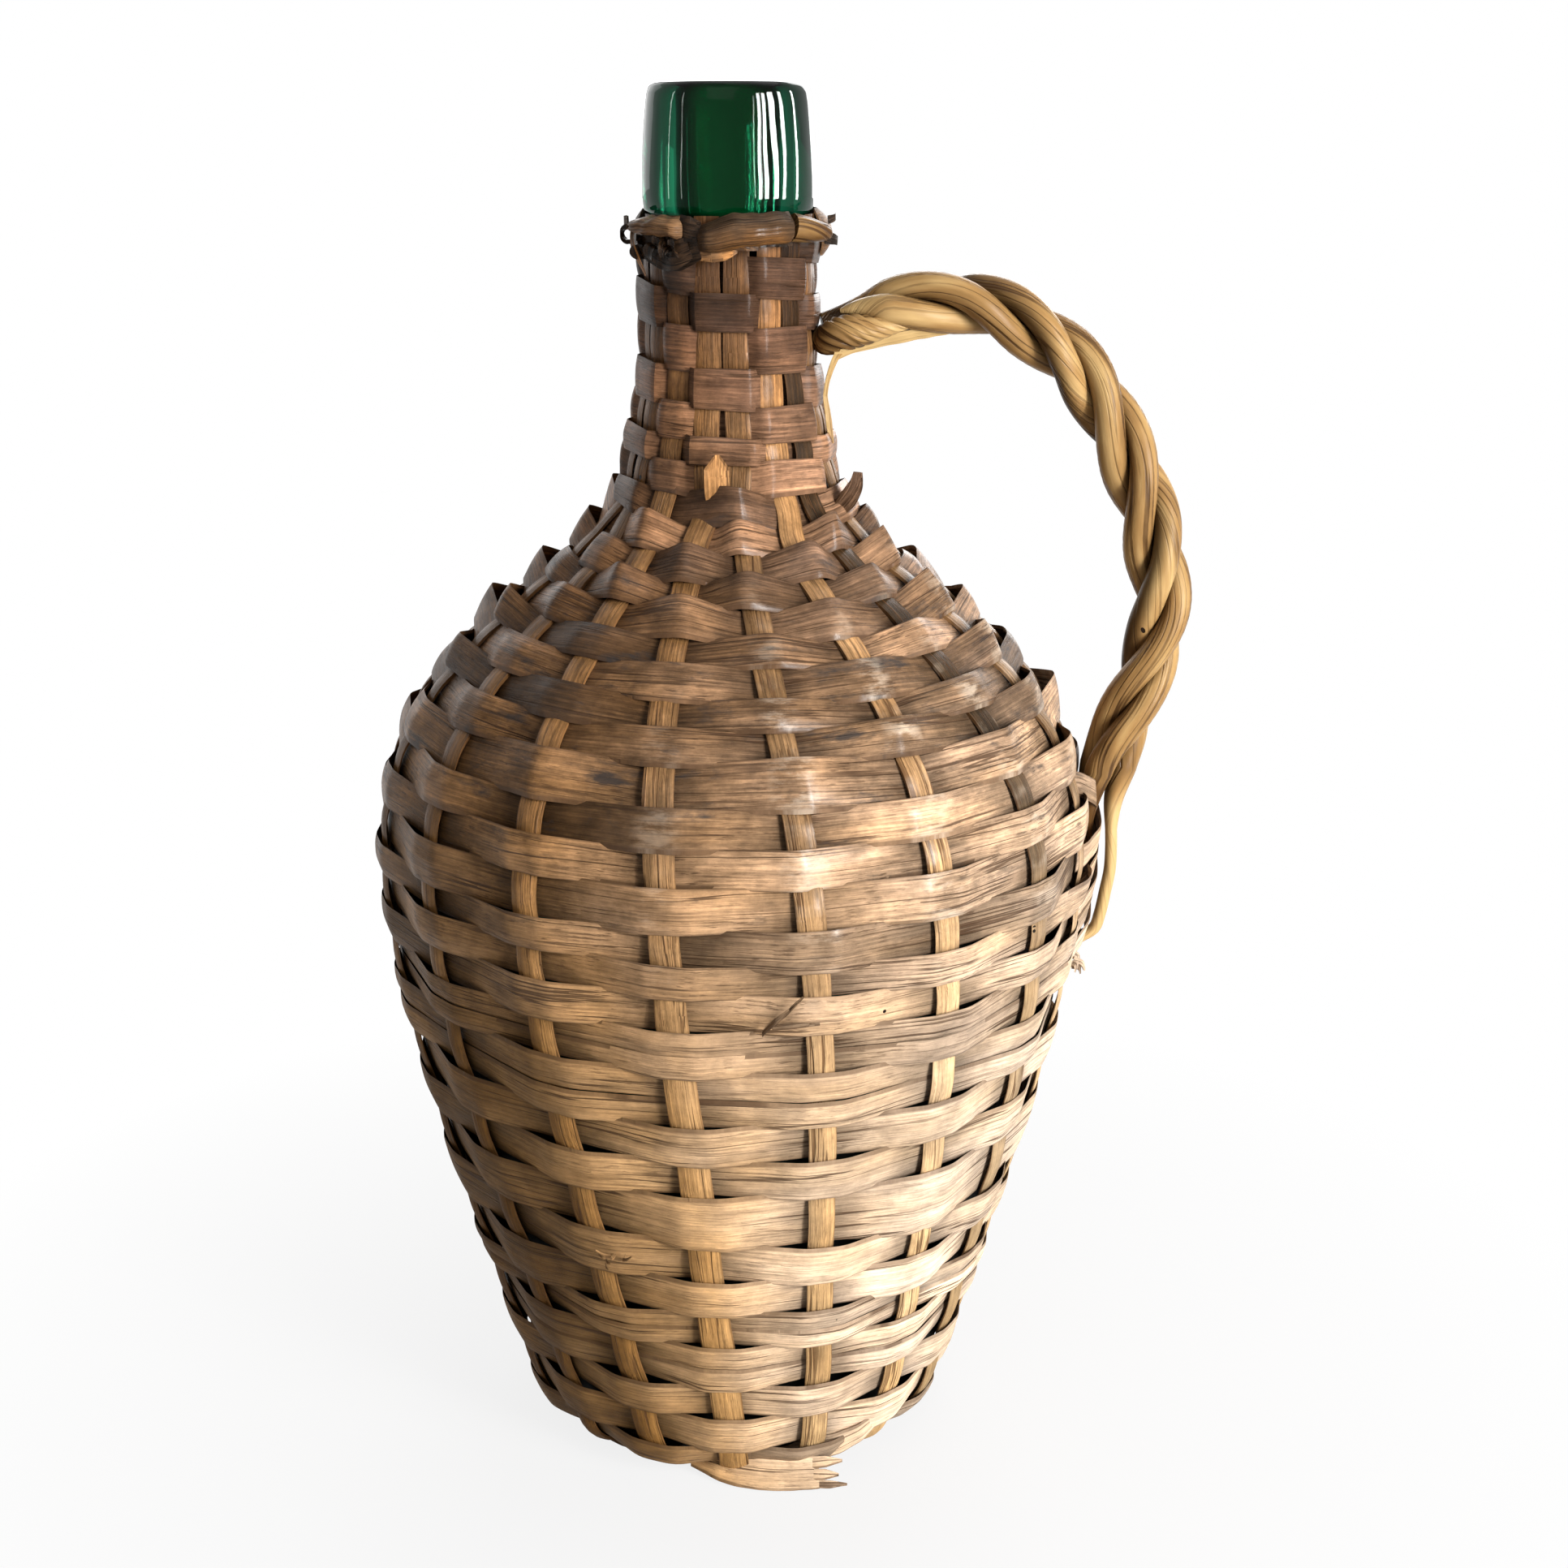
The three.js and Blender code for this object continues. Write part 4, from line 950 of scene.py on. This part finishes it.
loose_splint(binding_mesh, UNDERSIDE, (2.0, 3.4, 3.6, 3.4, 3.0), (0.0, -0.6, 0.8), 0.9, 15.0, 0.9)
loose_splint(binding_mesh, SLIVER, (2.2, 1.8, 1.4, 1.6, 2.0, 1.6), (1.0, 0.3, 0.2), 0.8, 16.0, 0.2)
finished_piece(
    "handle_neck_binding", binding_mesh, willow, "tie_splint_wood", "handle_neck_tie", sharp_angle=60)

TIE_WIDTH, TIE_THICKNESS, TIE_RISE, TIE_TUCK = 0.0080, 0.0011, 0.0036, 0.0046
TIE_FLAT, TIE_SLOPE, TUCK_START, TUCK_RUN = 0.0075, 0.0115, 0.0175, 0.0065
# Each tie: its height, its fall to the right, its reach to the left and right in millimetres, and its tone.
TIES = (
    (0.2225, -0.55, 24, 27, -0.1), (0.2150, 0.35, 30, 25, 0.4), (0.2070, 0.50, 26, 31, 0.0),
    (0.1990, 0.62, 31, 24, 0.3), (0.1910, 0.48, 25, 29, -0.2), (0.1832, 0.55, 29, 26, 0.4))
tie_spans = np.linspace(-0.5, 0.5, 6)
tie_mesh = bmesh.new()
for order, (tie_z, fall, left, right, tone) in enumerate(TIES):
    tie_run = np.linspace(-left, right, 61) / 1000
    down = smooth_step(np.clip((np.abs(tie_run) - TIE_FLAT) / TIE_SLOPE, 0, 1))
    under = smooth_step(np.clip((np.abs(tie_run) - TUCK_START) / TUCK_RUN, 0, 1))
    rise = eased((TIE_RISE + 0.0006 * (order % 2)) * (1 - down) - TIE_TUCK * under, passes=3)
    tie_points = np.zeros((len(tie_run), len(tie_spans), 3))
    for j, span in enumerate(tie_spans):
        waver = 0.0005 * ripples(tie_run, order * 3.1 + round(span), 0.012)
        heights = tie_z + span * TIE_WIDTH + fall * tie_run + waver
        cover = np.array([cover_radius(height) for height in heights])
        tie_points[:, j] = round_about(cover + rise + 0.0009 * span, tie_run / cover, heights)
    across = np.repeat((tie_spans * TIE_WIDTH)[None], len(tie_run), axis=0) + 5.1 * order
    tones, crowns = (np.full(len(tie_run), value) for value in (tone, 0.7))
    add_splint(tie_mesh, tie_points, TIE_THICKNESS, tie_run, across, tones, crowns)
finished_piece("handle_lower_tie_split", tie_mesh, woven_wood, "tie_splint_wood", "handle_lower_tie")


# Collar: the ends of the uprights and a border splint, folded over the top row under the lip. The front
# band is rolled outwards and its right end is a tight scroll; at the left a fold has sprung open.
COLLAR_LOW, COLLAR_HIGH = 0.4040, 0.4172
COLLAR_RADIUS, COLLAR_FOOT, COLLAR_THICKNESS = 0.0262, 0.0016, 0.0013
UPWARDS = (0, 0, 1)
collar_wood = splint_material(
    "collar_splint_wood",
    [(0.0, (0.30, 0.15, 0.06)), (0.950, (0.25, 0.130, 0.052)), (0.968, (0.125, 0.075, 0.043)),
     (1.0, (0.080, 0.062, 0.048))],
    dark_colour=(0.035, 0.020, 0.012), charred=0.5, gloss=0.36)


def collar_band(name, start, stop, low, high, bulge, seed, *nodes, slant=0.0, drop=0.0, tone=0.0):
    """A folded strip round the neck between two angles, rolled outwards, with wavering edges."""
    angle = np.radians(np.linspace(start, stop, int(abs(stop - start) / 2.0) + 2))
    part = np.linspace(0, 1, len(angle))
    spans = np.linspace(0, 1, 9)
    points = np.zeros((len(angle), len(spans), 3))
    for i, a in enumerate(angle):
        bottom = low + slant * (part[i] - 0.5) + 0.0008 * ripple(part[i] * 6, seed)
        top = high + 0.0007 * ripple(part[i] * 7, seed + 5.0) - drop * max(0.0, 1 - part[i] / 0.35)
        pinch = min(1.0, 0.35 + 6 * min(part[i], 1 - part[i]))
        for j, v in enumerate(spans):
            roll = bulge * pinch * math.sin(math.pi * (0.12 + 0.80 * v)) ** 0.7
            radius = COLLAR_RADIUS + COLLAR_FOOT * (1 - v) + roll + 0.0005 * ripple(part[i] * 9, v * 3, seed)
            points[i, j] = round_about(radius, a, bottom + (top - bottom) * v)
    run = part * 0.033 * np.ptp(angle)
    across = np.repeat((spans * 0.016)[None], len(angle), axis=0) + seed
    mesh_maker = bmesh.new()
    crowns = 0.55 + 0.4 * np.sin(math.pi * part)
    add_splint(mesh_maker, points, COLLAR_THICKNESS, run, across, np.full(len(angle), tone), crowns)
    finished_piece(name, mesh_maker, collar_wood, "collar_splint_wood", *nodes)


collar_band(
    "collar_front_band", -108, -46, 0.4078, 0.4168, 0.0072, 1.3, "collar_splint_1",
    slant=0.004, drop=0.0036, tone=-0.1)
collar_band(
    "collar_left_fold", -162, -115, 0.4108, 0.4156, 0.0070, 2.7, "collar_splint_3",
    slant=-0.001, drop=0.002, tone=0.9)
collar_band("collar_back_band", -6, 176, COLLAR_LOW, COLLAR_HIGH, 0.0068, 4.1, "collar_splint_2")

scroll_turn = np.linspace(0, 1, 26)
scroll_line = round_about(
    0.0300 + 0.0040 * scroll_turn, np.radians(-48 + 27 * scroll_turn), 0.4122 - 0.0022 * scroll_turn)
scroll_core = scroll_line * np.array([0.5, 0.5, 1.0])
scroll_size = 0.0043 - 0.0022 * scroll_turn ** 1.6
scroll_size[-3:] *= (0.9, 0.7, 0.4)
scroll_mesh = bmesh.new()
add_rod(scroll_mesh, scroll_line, scroll_core, scroll_size, 16, 0.2, 14.0, -0.35 - 0.7 * scroll_turn ** 2)
finished_piece("collar_scroll", scroll_mesh, willow, "collar_splint_wood", sharp_angle=60)


def round_axis(degrees, reach, height):
    """Point in millimetres at an angle round the bottle."""
    return round_about(reach, math.radians(degrees), height)


def ring_splint(mesh_maker, spots, *sizes, **finish):
    """A free strip through points that are given as degrees, reach and height."""
    loose_splint(mesh_maker, [round_axis(*spot) for spot in spots], *sizes, **finish)


charred_wood = splint_material(
    "charred_collar_wood", [(0.0, (0.055, 0.032, 0.020)), (1.0, (0.045, 0.028, 0.018))],
    dark_colour=(0.006, 0.005, 0.004), charred=0.0, gloss=0.10)
curls_mesh = bmesh.new()
draw = random.Random(71)
for low, high, reach in ((-158, -106, 29.8), (-150, -112, 30.3)):
    hollow = [
        (low + (high - low) * t, reach + 0.5 * math.sin(9 * t + low), 405.8 + 1.2 * math.sin(7 * t))
        for t in np.linspace(0, 1, 8)]
    ring_splint(curls_mesh, hollow, (6.0, 9.0, 10.0, 9.0, 6.0), UPWARDS, 0.7, -low * 0.3, bow=0.02)
curl_places = ((-150, 406.5), (-143, 408.5), (-137, 405.0), (-131, 408.0), (-126, 404.5), (-121, 408.5))
for k, (degrees, height) in enumerate(curl_places):
    size, first_turn = draw.uniform(1.8, 2.8), draw.uniform(0, math.tau)
    centre = round_axis(degrees, 30.2 + draw.uniform(0.0, 1.0), height)
    outward, beside = round_axis(degrees, 1.0, 0.0), round_axis(degrees + 90, 1.0, draw.uniform(-1.4, 1.4))
    turns = first_turn + np.linspace(0, math.radians(draw.uniform(150, 240)), 7)
    stops = [centre + size * (math.cos(t) * outward + math.sin(t) * np.array(UPWARDS)) for t in turns]
    loose_splint(curls_mesh, stops, (2.0, draw.uniform(4.0, 6.5), 2.4), beside, 0.7, 30.0 + k, bow=0.10)
hook = [
    round_axis(-165, 32.0, 410.4) + np.array([-2.2 * math.sin(t), -0.8 * math.cos(t), 2.4 * math.cos(t)])
    for t in np.linspace(0.1, 3.3, 8)]
loose_splint(curls_mesh, hook, (3.0, 3.4, 2.4), (0.3, 1.0, 0.0), 1.4, 46.0)
for spots, widths, thickness, seed in (
    (((-119, 30.0, 413.4), (-113, 30.6, 412.4), (-106, 29.6, 411.6)), (6.0, 7.0, 5.0), 0.8, 47.0),
    (((-24, 34.0, 414.5), (-19, 35.2, 415.2), (-16, 35.0, 416.6)), (1.8, 1.4, 0.7), 0.9, 48.0),
    (((-26, 33.5, 409.4), (-19, 35.0, 408.8), (-15, 35.4, 408.2)), (2.6, 2.4, 1.6), 1.2, 49.0),
    (((-70, 30.4, 408.4), (-60, 30.8, 408.6), (-48, 30.2, 408.4)), (2.4, 3.0, 2.4), 0.6, 50.0),
):
    ring_splint(curls_mesh, spots, widths, UPWARDS, thickness, seed)
finished_piece("collar_charred_curls", curls_mesh, charred_wood, "collar_splint_wood")

leaves_mesh = bmesh.new()
for spots, widths, edge, thickness, seed, tone in (
    (((-157, 32.0, 412.5), (-155, 32.6, 408), (-152, 31.6, 403), (-150, 29.6, 398)),
     (3.0, 3.4, 3.0, 1.2), round_axis(-64, 1.0, 0.0), 0.8, 51.0, 0.8),
    (((-106, 30.4, 404.6), (-98, 30.8, 405.2), (-90, 30.8, 405.6), (-84, 30.2, 406.4)),
     (2.2, 4.4, 4.0, 1.4), UPWARDS, 0.8, 52.0, 0.7),
    (((-88, 31.6, 408.2), (-80, 32.2, 407.6), (-72, 31.4, 406.6)), (3.0, 2.6, 0.6), UPWARDS, 0.7, 53.0, -0.2),
    (((-172, 31.5, 414.0), (-166, 33.5, 413.4), (-160, 33.2, 413.6)), (2.0, 3.4, 3.6), UPWARDS, 0.8, 54.0, 0.2),
):
    ring_splint(leaves_mesh, spots, widths, edge, thickness, seed, tone)
finished_piece("collar_loose_leaves", leaves_mesh, collar_wood, "collar_splint_wood")


# Frayed ends: where splints have broken or sprung with age, at the foot, under the handle, on the front and
# on the shoulder, their ends stand off the cover as curled strips and straws. At the root of the neck the
# pale end of a broken upright stands up over the row above it.
frays_mesh = bmesh.new()
draw = random.Random(83)


def on_cover(degrees, height, lift):
    """Point in millimetres that lies on the cover, or off it by a lift."""
    return round_axis(degrees, cover_radius(height / 1000) * 1000 + lift, height)


def straw(begin, tip, bend, *sizes):
    """A short splinter from one point to another, bent at its middle."""
    begin, tip = np.array(begin), np.array(tip)
    loose_splint(frays_mesh, [begin, (begin + tip) / 2 + np.array(bend), tip], *sizes)


heel_places = (
    (-94, 7.0, -1.5), (-84, 6.5, -0.6), (-72, 8.0, 0.3), (-61, 12.0, 0.8), (-53, 17.0, 0.2), (-49, 20.0, -2.0))
heel_strip = [on_cover(*spot) for spot in heel_places]
loose_splint(frays_mesh, heel_strip, (5, 9, 11, 11, 9, 6), (0, -0.35, 1), 1.0, 61.0, 0.6)
BROKEN_EDGE = (0.15, 0.5, 1)
broken_strip = ((-102, 67.0, 6.0), (-91, 71.0, 5.5), (-81, 74.5, 5.2), (-73, 77.0, 5.0), (-68, 78.5, 4.8))
ring_splint(frays_mesh, broken_strip, (5, 9, 11, 12, 11), BROKEN_EDGE, 0.9, 62.0, 0.5)
for height, tip, width in (
    (8.0, (-62, 79.5, 8.0), 3.6), (4.6, (-63.5, 81.0, 4.0), 3.4), (1.6, (-62, 83.0, 0.7), 2.4),
):
    begin = round_axis(-70, 80.2 - 0.5 * height, height)
    widths = (width, width * 0.9, 0.4)
    straw(begin, round_axis(*tip), (0, -0.5, 0.4), widths, BROKEN_EDGE, 0.7, 63.0 + width, 0.4)
curled_end = [on_cover(*spot) for spot in ((-60, 10, -0.5), (-57, 9, 2.2), (-55, 5.5, 3.2), (-56, 3.5, 1.0))]
loose_splint(frays_mesh, curled_end, (5, 6, 5, 3), (0.8, 0.6, 0.1), 0.8, 72.0, 0.3, bow=0.15)
for k in range(6):
    begin = np.array([117.0 + draw.uniform(-0.5, 1), -9 + draw.uniform(-3, 4), 168 - draw.uniform(0, 3)])
    tip = begin + np.array([draw.uniform(1.0, 4.0), draw.uniform(-3, 2), -draw.uniform(1, 5)])
    straw(begin, tip, (0.8, 0, 0.8), (2.4, 2.0, 0.7), (0.4, 0.6, 0.6), 0.6, 75.0 + k, -0.1)
for begin, tip, width in (
    ((11, -118.8, 187), (19, -122.0, 196), 1.8), ((14, -118.6, 189), (28, -120.6, 191), 1.4),
    ((15, -118.6, 190), (23, -122.0, 200), 1.1),
):
    straw(begin, tip, (0, -0.8, 0.4), (width, width, 0.4), (0.5, 0, 0.8), 0.5, 82.0 + width, -0.6)
shoulder_curl = [(35.0, -18, 325), (38.0, -20, 329), (40.4, -21, 333.5), (41.0, -21, 337)]
loose_splint(frays_mesh, shoulder_curl, (5, 6, 5, 3), (0.8, 0.2, -0.6), 0.8, 86.0, 0.0, bow=0.12)
for k in range(7):
    begin = np.array([-37 + draw.uniform(-4, 4), -95.5 + draw.uniform(-1, 1), 101 + draw.uniform(-4, 3)])
    tip = begin + np.array([draw.uniform(-5, 5), -draw.uniform(1.5, 4), draw.uniform(-1, 5)])
    straw(begin, tip, (0, -0.8, 0), (1.0, 0.7, 0.3), (0.3, 0.2, 1), 0.35, 90.0 + k, 1.0)
finished_piece("frayed_splint_ends", frays_mesh, woven_wood, "woven_splint_wood")
upright_end_mesh = bmesh.new()
upright_end = ((-94.6, 37.4, 332.0), (-94.6, 39.0, 334.5), (-94.6, 39.2, 339.0), (-94.6, 38.6, 345.0))
ring_splint(upright_end_mesh, upright_end, (7.6, 8.0, 8.2, 1.4), (1, 0.06, 0.05), 1.0, 88.0, 0.2, bow=0.10)
finished_piece("neck_broken_upright", upright_end_mesh, upright_wood, "upright_splint_wood")


# Floor, light and camera: a pale floor, window light from the front right with a weak fill from the other
# sides, window panes that are mirrored in the glass alone, and the photograph's own camera, a little above
# the shoulder and tipped down by 17 degrees.
FLOOR_SIZE, FLOOR_Z = 6.0, -0.0005
floor_mesh = bmesh.new()
bmesh.ops.create_grid(floor_mesh, x_segments=1, y_segments=1, size=FLOOR_SIZE)
mesh = bpy.data.meshes.new("floor")
floor_mesh.to_mesh(mesh)
floor_mesh.free()
floor = bpy.data.objects.new("floor", mesh)
floor.location.z = FLOOR_Z
bpy.context.scene.collection.objects.link(floor)


def seen_white(tree):
    """1 for what the camera sees, straight or by way of the glass, and 0 for light on the object."""
    rays = tree.nodes.new("ShaderNodeLightPath").outputs
    by_glass = calc(tree, "MAXIMUM", rays["Is Glossy Ray"], rays["Is Transmission Ray"])
    return calc(tree, "MAXIMUM", rays["Is Camera Ray"], by_glass)


pale, tree, paint = new_material("pale_floor")
paint["Base Color"].default_value = (0.45, 0.44, 0.43, 1)
paint["Roughness"].default_value = 0.9
reach = tree.nodes.new("ShaderNodeVectorMath")
reach.operation = "LENGTH"
join(tree, reach.inputs[0], tree.nodes.new("ShaderNodeTexCoord").outputs["Object"])
away = ramp(tree, reach.outputs["Value"], (0.10, 0.84), (0.36, 1.0))
white = tree.nodes.new("ShaderNodeEmission")
surface = tree.nodes.new("ShaderNodeMixShader")
join(tree, surface.inputs[0], times(tree, seen_white(tree), away))
join(tree, surface.inputs[1], tree.nodes["Principled BSDF"].outputs[0])
join(tree, surface.inputs[2], white.outputs[0])
join(tree, tree.nodes["Material Output"].inputs["Surface"], surface.outputs[0])
mesh.materials.append(pale)

world = bpy.data.worlds.new("studio")
bpy.context.scene.world = world
world.use_nodes = True
sky = world.node_tree.nodes["Background"].inputs
sky["Color"].default_value = (1, 1, 1, 1)
join(
    world.node_tree, sky["Strength"],
    calc(world.node_tree, "MULTIPLY_ADD", seen_white(world.node_tree), 0.93, 0.07))


def area_light(name, place, target_z, width, height, power):
    lamp = bpy.data.lights.new(name, "AREA")
    lamp.shape = "RECTANGLE"
    lamp.size, lamp.size_y, lamp.energy = width, height, power
    holder = bpy.data.objects.new(name, lamp)
    holder.location = place
    holder.rotation_euler = (Vector((0, 0, target_z)) - Vector(place)).to_track_quat("-Z", "Y").to_euler()
    bpy.context.scene.collection.objects.link(holder)
    return holder


BODY_MIDDLE_Z = 0.22
for name, place, width, height, power in (
    ("window_right", (1.11, -1.10, 0.62), 0.13, 1.0, 33),
    ("window_far_right", (1.29, -0.89, 0.70), 0.06, 0.8, 13),
    ("window_front_right", (0.95, -1.25, 0.58), 0.03, 0.9, 7.5),
    ("fill_left", (-1.3, -0.9, 0.7), 1.2, 1.2, 0.3),
    ("soft_behind_left", (-0.90, 1.20, 0.80), 1.0, 1.0, 3.5),
    ("front_above", (-0.15, -1.15, 1.30), 1.0, 1.0, 4),
):
    area_light(name, place, BODY_MIDDLE_Z, width, height, power)
behind = area_light("soft_behind", (0.30, 1.45, 0.85), BODY_MIDDLE_Z, 1.2, 1.2, 24)
behind.visible_transmission = False
on_glass = bpy.data.collections.new("window_panes_on_glass")
on_glass.objects.link(bottle)
PANE_REACH, PANE_Z, PANE_HEIGHT, GLASS_MIDDLE_Z = 1.6, 0.62, 1.0, 0.40
# Each pane: degrees to the right of the camera, width in metres and power.
PANES = (
    (44, 0.10, 60), (53, 0.16, 110), (66, 0.20, 120), (80, 0.16, 70), (104, 0.12, 45),
    (-62, 0.04, 4), (-84, 0.05, 6))
for pane, (degrees, width, power) in enumerate(PANES):
    turn = math.radians(degrees)
    place = (PANE_REACH * math.sin(turn), -PANE_REACH * math.cos(turn), PANE_Z)
    gloss = area_light(f"window_pane_{pane + 1}", place, GLASS_MIDDLE_Z, width, PANE_HEIGHT, power)
    gloss.visible_diffuse = False
    gloss.light_linking.receiver_collection = on_glass
area_light("top_soft", (0.3, 0.2, 1.6), 0.2, 1.0, 1.0, 2.5)

camera_data = bpy.data.cameras.new("photo_camera")
camera_data.sensor_width = 36.0
camera_data.lens = 48.876
camera = bpy.data.objects.new("photo_camera", camera_data)
camera.location = (0.0175, -0.695, 0.4414)
camera.rotation_euler = (math.radians(72.86), 0, 0)
bpy.context.scene.collection.objects.link(camera)
bpy.context.scene.camera = camera
bpy.context.scene.view_settings.view_transform = "Standard"
